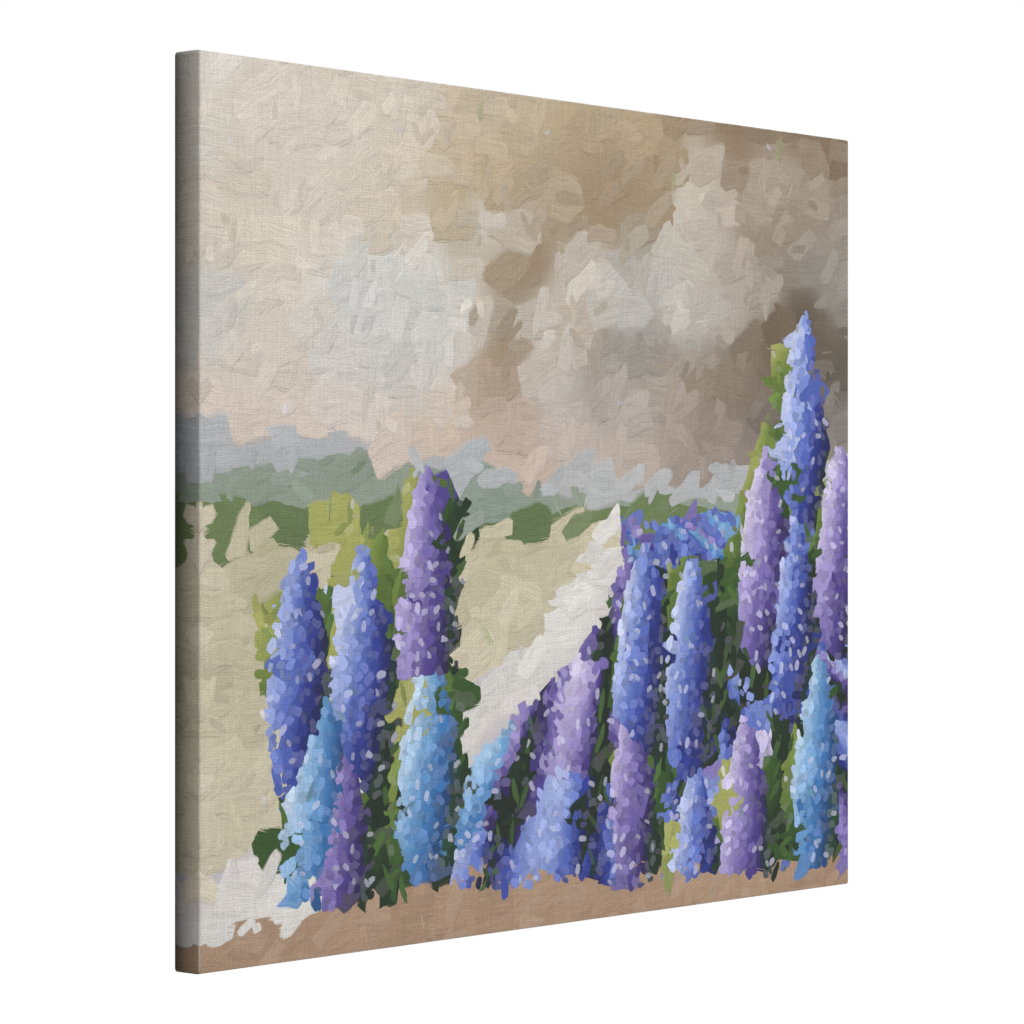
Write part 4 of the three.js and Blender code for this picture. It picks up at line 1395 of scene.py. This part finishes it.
@dataclass(frozen=True)
class Hanger:
    """The sawtooth hanger: a strip with flat ends, a raised middle and teeth along its lower edge. It is a
    rounded section carried along X, whose depth follows the strip's two steps and whose lower edge follows
    the teeth, a wave of straight slopes."""

    finish: PlatedMetal
    sheet: float = 0.8 * MM
    tab: float = 9 * MM
    ramp: float = 2.6 * MM
    pitch: float = 3 * MM
    tooth: float = 1.5 * MM
    teeth: int = 9
    rounding: float = 0.22 * MM
    rounding_steps: int = 3
    border: float = 0.3 * MM  # beyond it a face stays flat
    tab_corner: float = 1.2 * MM
    stations: int = 400

    def section(self, half: np.ndarray) -> np.ndarray:
        """The strip's section, a rectangle with round corners. Each quarter of it goes round a corner and has
        one more point before it and after it. On the strip's faces these lie further in by the border.

        Args:
            half: Half the section's height at each station, as [station, 1].

        Returns:
            The points, as [1, station, around, (up, through)].
        """
        arc = np.linspace(0, np.pi / 2, self.rounding_steps + 1)
        quarter = np.concatenate([arc[:1], arc, arc[-1:]])
        t = (quarter + np.arange(4)[:, None] * np.pi / 2).ravel()
        up = np.repeat([1, -1, -1, 1], len(quarter))
        through = np.repeat([1, 1, -1, -1], len(quarter))
        more = np.tile([1, *np.zeros(len(arc)), 1], 4)
        inner = more * (np.abs(np.cos(t)) < 0.5)
        a = (half - self.rounding - self.border * inner) * up + self.rounding * np.cos(t)
        b = (self.sheet / 2 - self.rounding) * through + self.rounding * np.sin(t)
        return np.stack([a, np.broadcast_to(b, a.shape)], axis=-1)[None]

    def build(self) -> Object:
        """The strip as one closed mesh."""
        low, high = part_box("hanger")
        x = np.linspace(low.x, high.x, self.stations)
        from_end = (high.x - low.x) / 2 - np.abs(x - (low.x + high.x) / 2)
        raised = smooth_step((from_end - self.tab) / self.ramp)
        y = low.y + self.sheet / 2 + raised * (high.y - low.y - self.sheet)
        saw = np.abs((x / self.pitch + 0.5) % 1 - 0.5) * 2
        toothed = np.abs(x) < self.teeth * self.pitch / 2
        notch = np.where(toothed, self.tooth * (1 - saw), 0.0)
        short = np.maximum(self.tab_corner - from_end, 0)
        trim = self.tab_corner - np.sqrt(np.maximum(self.tab_corner**2 - short**2, 0))
        bottom, top = low.z + notch + trim, high.z - trim
        path = np.stack([x, y, (top + bottom) / 2], axis=1)[None]
        through = np.stack([-np.gradient(y, x), np.ones_like(x), np.zeros_like(x)], axis=1)
        through /= np.linalg.norm(through, axis=1, keepdims=True)
        section = self.section((top - bottom)[:, None] / 2)
        points = swept(path, np.array([0.0, 0.0, 1.0]), through[None], section)
        return tubes("sawtooth_hanger", points, self.finish, "hanger_steel", "hanger")


@dataclass(frozen=True)
class Pin:
    """A pin with a low domed head and a shank in the wood, as a turned profile."""

    finish: PlatedMetal
    head: float = 0.8 * MM  # the head's height
    dome: float = 0.55  # the shares of it from its top to the dome's edge, and to the rim's
    rim: float = 0.75
    under: float = 0.9  # the share of the head's radius that its underside has
    shank: float = 0.7 * MM
    neck: float = 1.3  # how much thicker the shank is at the head
    neck_long: float = 0.3 * MM
    point: float = 2.2 * MM  # length of its point
    tip: float = 0.08 * MM
    dome_rings: int = 9
    steps: int = 28

    def build(self, name: str, node: str) -> Object:
        """One pin.

        Args:
            name: The piece's name.
            node: The node that it replaces.

        Returns:
            The piece.
        """
        low, high = np.array(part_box(node))
        radius, middle, top = (high[0] - low[0]) / 2, (low + high) / 2, high[1]
        t = np.linspace(CENTRE, np.pi / 2, self.dome_rings)
        dome = np.stack([radius * np.sin(t), top - self.dome * self.head * (1 - np.cos(t))], axis=1)
        below = np.array([
            [radius, top - self.rim * self.head],
            [radius * self.under, top - self.head],
            [self.shank * self.neck, top - self.head],
            [self.shank, top - self.head - self.neck_long],
            [self.shank, low[1] + self.point],
            [self.tip, low[1]],
        ])
        points = turned(np.concatenate([dome, below]), middle[[0, 2]], self.steps)
        return tubes(name, points, self.finish, "pin_brass", node)


@dataclass(frozen=True)
class Pad:
    """A felt pad punched from a sheet: a disc with soft edges and a slightly fuzzy, uneven surface. The fuzz
    is the sum of two sines of the turn and of the number of the ring."""

    finish: Felt
    edge: float = 0.7 * MM
    # Each sine's waves round the pad, and how far it turns from ring to ring.
    fuzz: tuple[tuple[int, float], ...] = ((17, 1.9), (29, -2.7))
    fuzz_in: float = 0.012  # how far in the fuzz lies at most, as a share of the radius
    fuzz_down: float = 0.05 * MM  # and how far down on the faces
    face_rings: int = 10
    edge_steps: int = 4
    wall_steps: int = 5
    steps: int = 96

    def build(self, name: str, node: str) -> Object:
        """One pad.

        Args:
            name: The piece's name.
            node: The node that it replaces.

        Returns:
            The piece.
        """
        low, high = np.array(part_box(node))
        radius, middle = (high[0] - low[0]) / 2, (low + high) / 2
        face = np.linspace(CENTRE, 1, self.face_rings)[:-1] * (radius - self.edge)
        t = np.linspace(0, np.pi / 2, self.edge_steps + 1)
        r = np.concatenate([face, radius - self.edge + self.edge * np.sin(t)])
        y = high[1] - np.concatenate([0 * face, self.edge - self.edge * np.cos(t)])
        wall = np.linspace(high[1] - self.edge, low[1] + self.edge, self.wall_steps + 1)[1:-1]
        profile = np.concatenate([
            np.stack([r, y], axis=1),
            np.stack([np.full(len(wall), radius), wall], axis=1),
            np.stack([r[::-1], low[1] + high[1] - y[::-1]], axis=1),
        ])
        points = turned(profile, middle[[0, 2]], self.steps)
        angle = np.linspace(0, 2 * np.pi, self.steps, endpoint=False)
        ring = np.arange(len(profile))[:, None]
        fuzz = 0.5 + sum(np.sin(waves * angle + turn * ring) for waves, turn in self.fuzz) / 4
        away = points[0] - middle
        points[0, ..., [0, 2]] -= self.fuzz_in * fuzz * away.transpose(2, 0, 1)[[0, 2]]
        points[0, ..., 1] -= self.fuzz_down * fuzz * np.sign(away[..., 1])
        return tubes(name, points, self.finish, "felt", node)


# ---------------------------------------------------------------------------------------------------------
# The studio
# ---------------------------------------------------------------------------------------------------------


@dataclass(frozen=True)
class Lamp:
    """A soft square lamp that faces the picture's middle. Azimuth 0 is before the picture and 90 on its
    right."""

    name: str
    azimuth: float
    elevation: float
    distance: float
    size: float
    light: float  # the share of full light that it gives a face turned to it

    def build(self, middle: Vector) -> None:
        """Places the lamp. Its power is the light times pi squared times the distance squared."""
        az, el = math.radians(self.azimuth), math.radians(self.elevation)
        away = Vector((math.sin(az) * math.cos(el), -math.cos(az) * math.cos(el), math.sin(el)))
        data = bpy.data.lights.new(self.name, "AREA")
        data.shape = "SQUARE"
        data.size = self.size
        data.energy = self.light * (math.pi * self.distance) ** 2
        lamp = object_of(data)
        lamp.location = middle + away * self.distance
        lamp.rotation_euler = (-away).to_track_quat("-Z", "Y").to_euler()
        lamp.visible_camera = False


@dataclass(frozen=True)
class Studio:
    """Soft white light, a pale floor far below and the camera of the photograph."""

    azimuth: float = -48.79  # the camera's, in degrees
    lens: float = 120.16
    sensor: float = 36.0
    to_edge: float = 1.8478  # from the camera to the front's near edge, along its axis
    beside_edge: float = -0.1689  # that edge's place beside the axis
    height: float = -0.220
    floor_drop: float = 4.2  # the picture's middle above the floor, so that it can be seen from below
    floor_radius: float = 22.0
    floor_steps: int = 96
    ambient: float = 0.12  # the world's light on the object
    above: float = 0.2  # the share of full light that comes from above
    above_angle: float = math.radians(14)
    shade_inner: float = 1.0 * MM
    shade_width: float = 38 * MM

    def build(self, low: Vector, high: Vector) -> None:
        """Makes the camera, the world, the lamps, the floor and the shade.

        Args:
            low: The picture's lowest corner.
            high: Its highest corner.
        """
        middle = (low + high) / 2
        self.camera(low)
        self.world()
        for lamp in (
            Lamp("front", 14.0, 12.0, 3.6, 2.2, 0.96),
            Lamp("left", -107.0, 4.0, 2.4, 0.9, 0.29),
            Lamp("back", 160.0, 40.0, 3.2, 1.6, 0.92),
        ):
            lamp.build(middle)
        self.overhead()
        self.floor(middle)
        self.shade(low, high)

    def camera(self, low: Vector) -> None:
        """Places the camera level, by how far the front's left edge is from it."""
        turn = math.radians(self.azimuth)
        ahead = Vector((-math.sin(turn), math.cos(turn), 0))
        right = Vector((math.cos(turn), math.sin(turn), 0))
        data = bpy.data.cameras.new("camera")
        data.lens = self.lens
        data.sensor_width = self.sensor
        camera = object_of(data)
        camera.location = Vector((low.x, low.y, 0)) - ahead * self.to_edge - right * self.beside_edge
        camera.location.z = self.height
        camera.rotation_euler = Euler((math.pi / 2, 0, turn))
        bpy.context.scene.camera = camera

    def world(self) -> None:
        """A white background that gives the object only a little even light."""
        world = bpy.data.worlds.new("white studio")
        world.use_nodes = True
        world.node_tree.nodes.clear()
        tree = Tree(world.node_tree)
        seen = tree.add("LightPath", pick="Is Camera Ray")
        strength = tree.value(("MULTIPLY_ADD", seen, 1.0 - self.ambient, self.ambient))
        light = tree.add("Background", inputs={"Color": "#ffffff", "Strength": strength})
        tree.add("OutputWorld", light, pick=None)
        bpy.context.scene.world = world
        bpy.context.scene.view_settings.view_transform = "Standard"

    def overhead(self) -> None:
        """A soft light from straight above, which lights the floor evenly."""
        data = bpy.data.lights.new("overhead", "SUN")
        data.energy = self.above * math.pi
        data.angle = self.above_angle
        object_of(data)

    def floor(self, middle: Vector) -> None:
        """A round pale floor, out of the photograph's view. It gives the picture no light."""
        t = np.linspace(0, 2 * np.pi, self.floor_steps, endpoint=False)
        points = np.stack([middle.x + self.floor_radius * np.cos(t), self.floor_radius * np.sin(t),
                           np.full(len(t), middle.z - self.floor_drop)], axis=1)
        floor = smooth_object("floor", points, [list(range(len(t)))], Plaster("pale floor"))
        floor.visible_diffuse = False

    def shade(self, low: Vector, high: Vector) -> None:
        """A dark card round the picture in the wall's plane. It stands for the wall, which darkens the back
        part of the sides, and the camera doesn't see it."""
        loops = []
        for out in (self.shade_inner, self.shade_inner + self.shade_width):
            x0, x1, z0, z1 = low.x - out, high.x + out, low.z - out, high.z + out
            loops.append([(x0, 0, z0), (x1, 0, z0), (x1, 0, z1), (x0, 0, z1)])
        faces = [[i, (i + 1) % 4, (i + 1) % 4 + 4, i + 4] for i in range(4)]
        card = smooth_object("shade", np.array(loops), faces, DarkCard("dark card"))
        card.visible_camera = False


@dataclass(frozen=True)
class Plaster(Finish):
    """A pale, faintly mottled plaster floor."""

    def surface(self, tree: Tree) -> dict:
        """Broad, faint mottling."""
        place = tree.add("TexCoord", pick="Object")
        noise = tree.add("TexNoise", place, pick="Fac", inputs={"Scale": 3.0, "Detail": 4.0})
        colour = tree.add("ValToRGB", noise, stops=((0.3, "#f0efec"), (0.7, "#f7f6f4")))
        return {"Base Color": colour, "Roughness": 0.9,
                "Emission Color": "#f9f8f6", "Emission Strength": 0.68}


@dataclass(frozen=True)
class DarkCard(Finish):
    """Matt black card."""

    def surface(self, tree: Tree) -> dict:
        """Nearly black all over."""
        return {"Base Color": "#1c1c1c", "Roughness": 1.0}


# ---------------------------------------------------------------------------------------------------------
# The picture
# ---------------------------------------------------------------------------------------------------------

# Each bar's grain, its pith and its knots, in millimetres.
TIMBER = {
    "top": (Run.ACROSS, (40.0, 60.0), ((-205.0, -1.0, 3.2), (118.0, -6.0, 2.2))),
    "bottom": (Run.ACROSS, (-475.0, 75.0), ((150.0, -437.0, 3.6), (-72.0, -433.0, 1.8))),
    "left": (Run.UPRIGHT, (-240.0, 70.0), ((-122.0, -266.0, 2.8), (-330.0, -270.0, 2.0))),
    "right": (Run.UPRIGHT, (310.0, 65.0), ((-248.0, 268.0, 3.4), (-60.0, 264.0, 1.9))),
}


def main() -> None:
    """Builds the studio and the pieces in order."""
    logging.basicConfig(level=logging.INFO, format="%(message)s")
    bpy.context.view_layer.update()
    low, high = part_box("canvas")
    Studio().build(low, high)
    wide, tall = high.x - low.x, high.z - low.z
    cloth = Canvas(
        low, high,
        PrintedCanvas("printed cotton canvas", wide, tall, printed=29 * MM),
        RawCotton("raw cotton canvas", tall),
        CutEdge("cut canvas edge", tall),
    )
    sheet = cloth.build()
    log.info("canvas: flat size %.3f x %.3f m", *cloth.flat)
    threads = Fraying(cloth, CottonThread("loose cotton thread")).build()
    log.info("frayed threads: %d faces", len(threads.data.polygons))
    woodwork = Woodwork()
    for side, (run, pith, knots) in TIMBER.items():
        pine = Pine(f"planed pine, {side} bar", run, pith, knots)
        woodwork.build(f"pine_bar_{side}", f"bar_{side}", pine, "pine")
        across = Run.UPRIGHT if run is Run.ACROSS else Run.ACROSS
        beech = Beech(f"sawn beech, grain {across.name.lower()}", across)
        for i in (1, 2):
            woodwork.build(f"beech_key_{side}_{i}", f"key_{side}_{i}", beech, "beech")
        log.info("%s bar with two keys", side)
    staple_wire = PlatedMetal("galvanised staple wire", "#b3b5b7", "#8f9295", 0.34, (900.0, 6000.0, 900.0))
    for side in TIMBER:
        Staples(staple_wire).build(side)
    log.info("staples in four rows")
    plate = PlatedMetal("zinc-plated pressed steel", "#bbbdc0", "#96999c", 0.34, (300.0, 5000.0, 5000.0))
    Hanger(plate).build()
    brass = PlatedMetal("brass-plated pin", "#d2a65a", "#a97f3e", 0.28, (4000.0, 4000.0, 4000.0))
    felt = Felt("wool felt")
    for side in ("left", "right"):
        Pin(brass).build(f"brass_pin_{side}", f"pin_{side}")
        Pad(felt).build(f"felt_pad_{side}", f"pad_{side}")
    log.info("hanger, pins and pads")


if __name__ == "__main__":
    main()
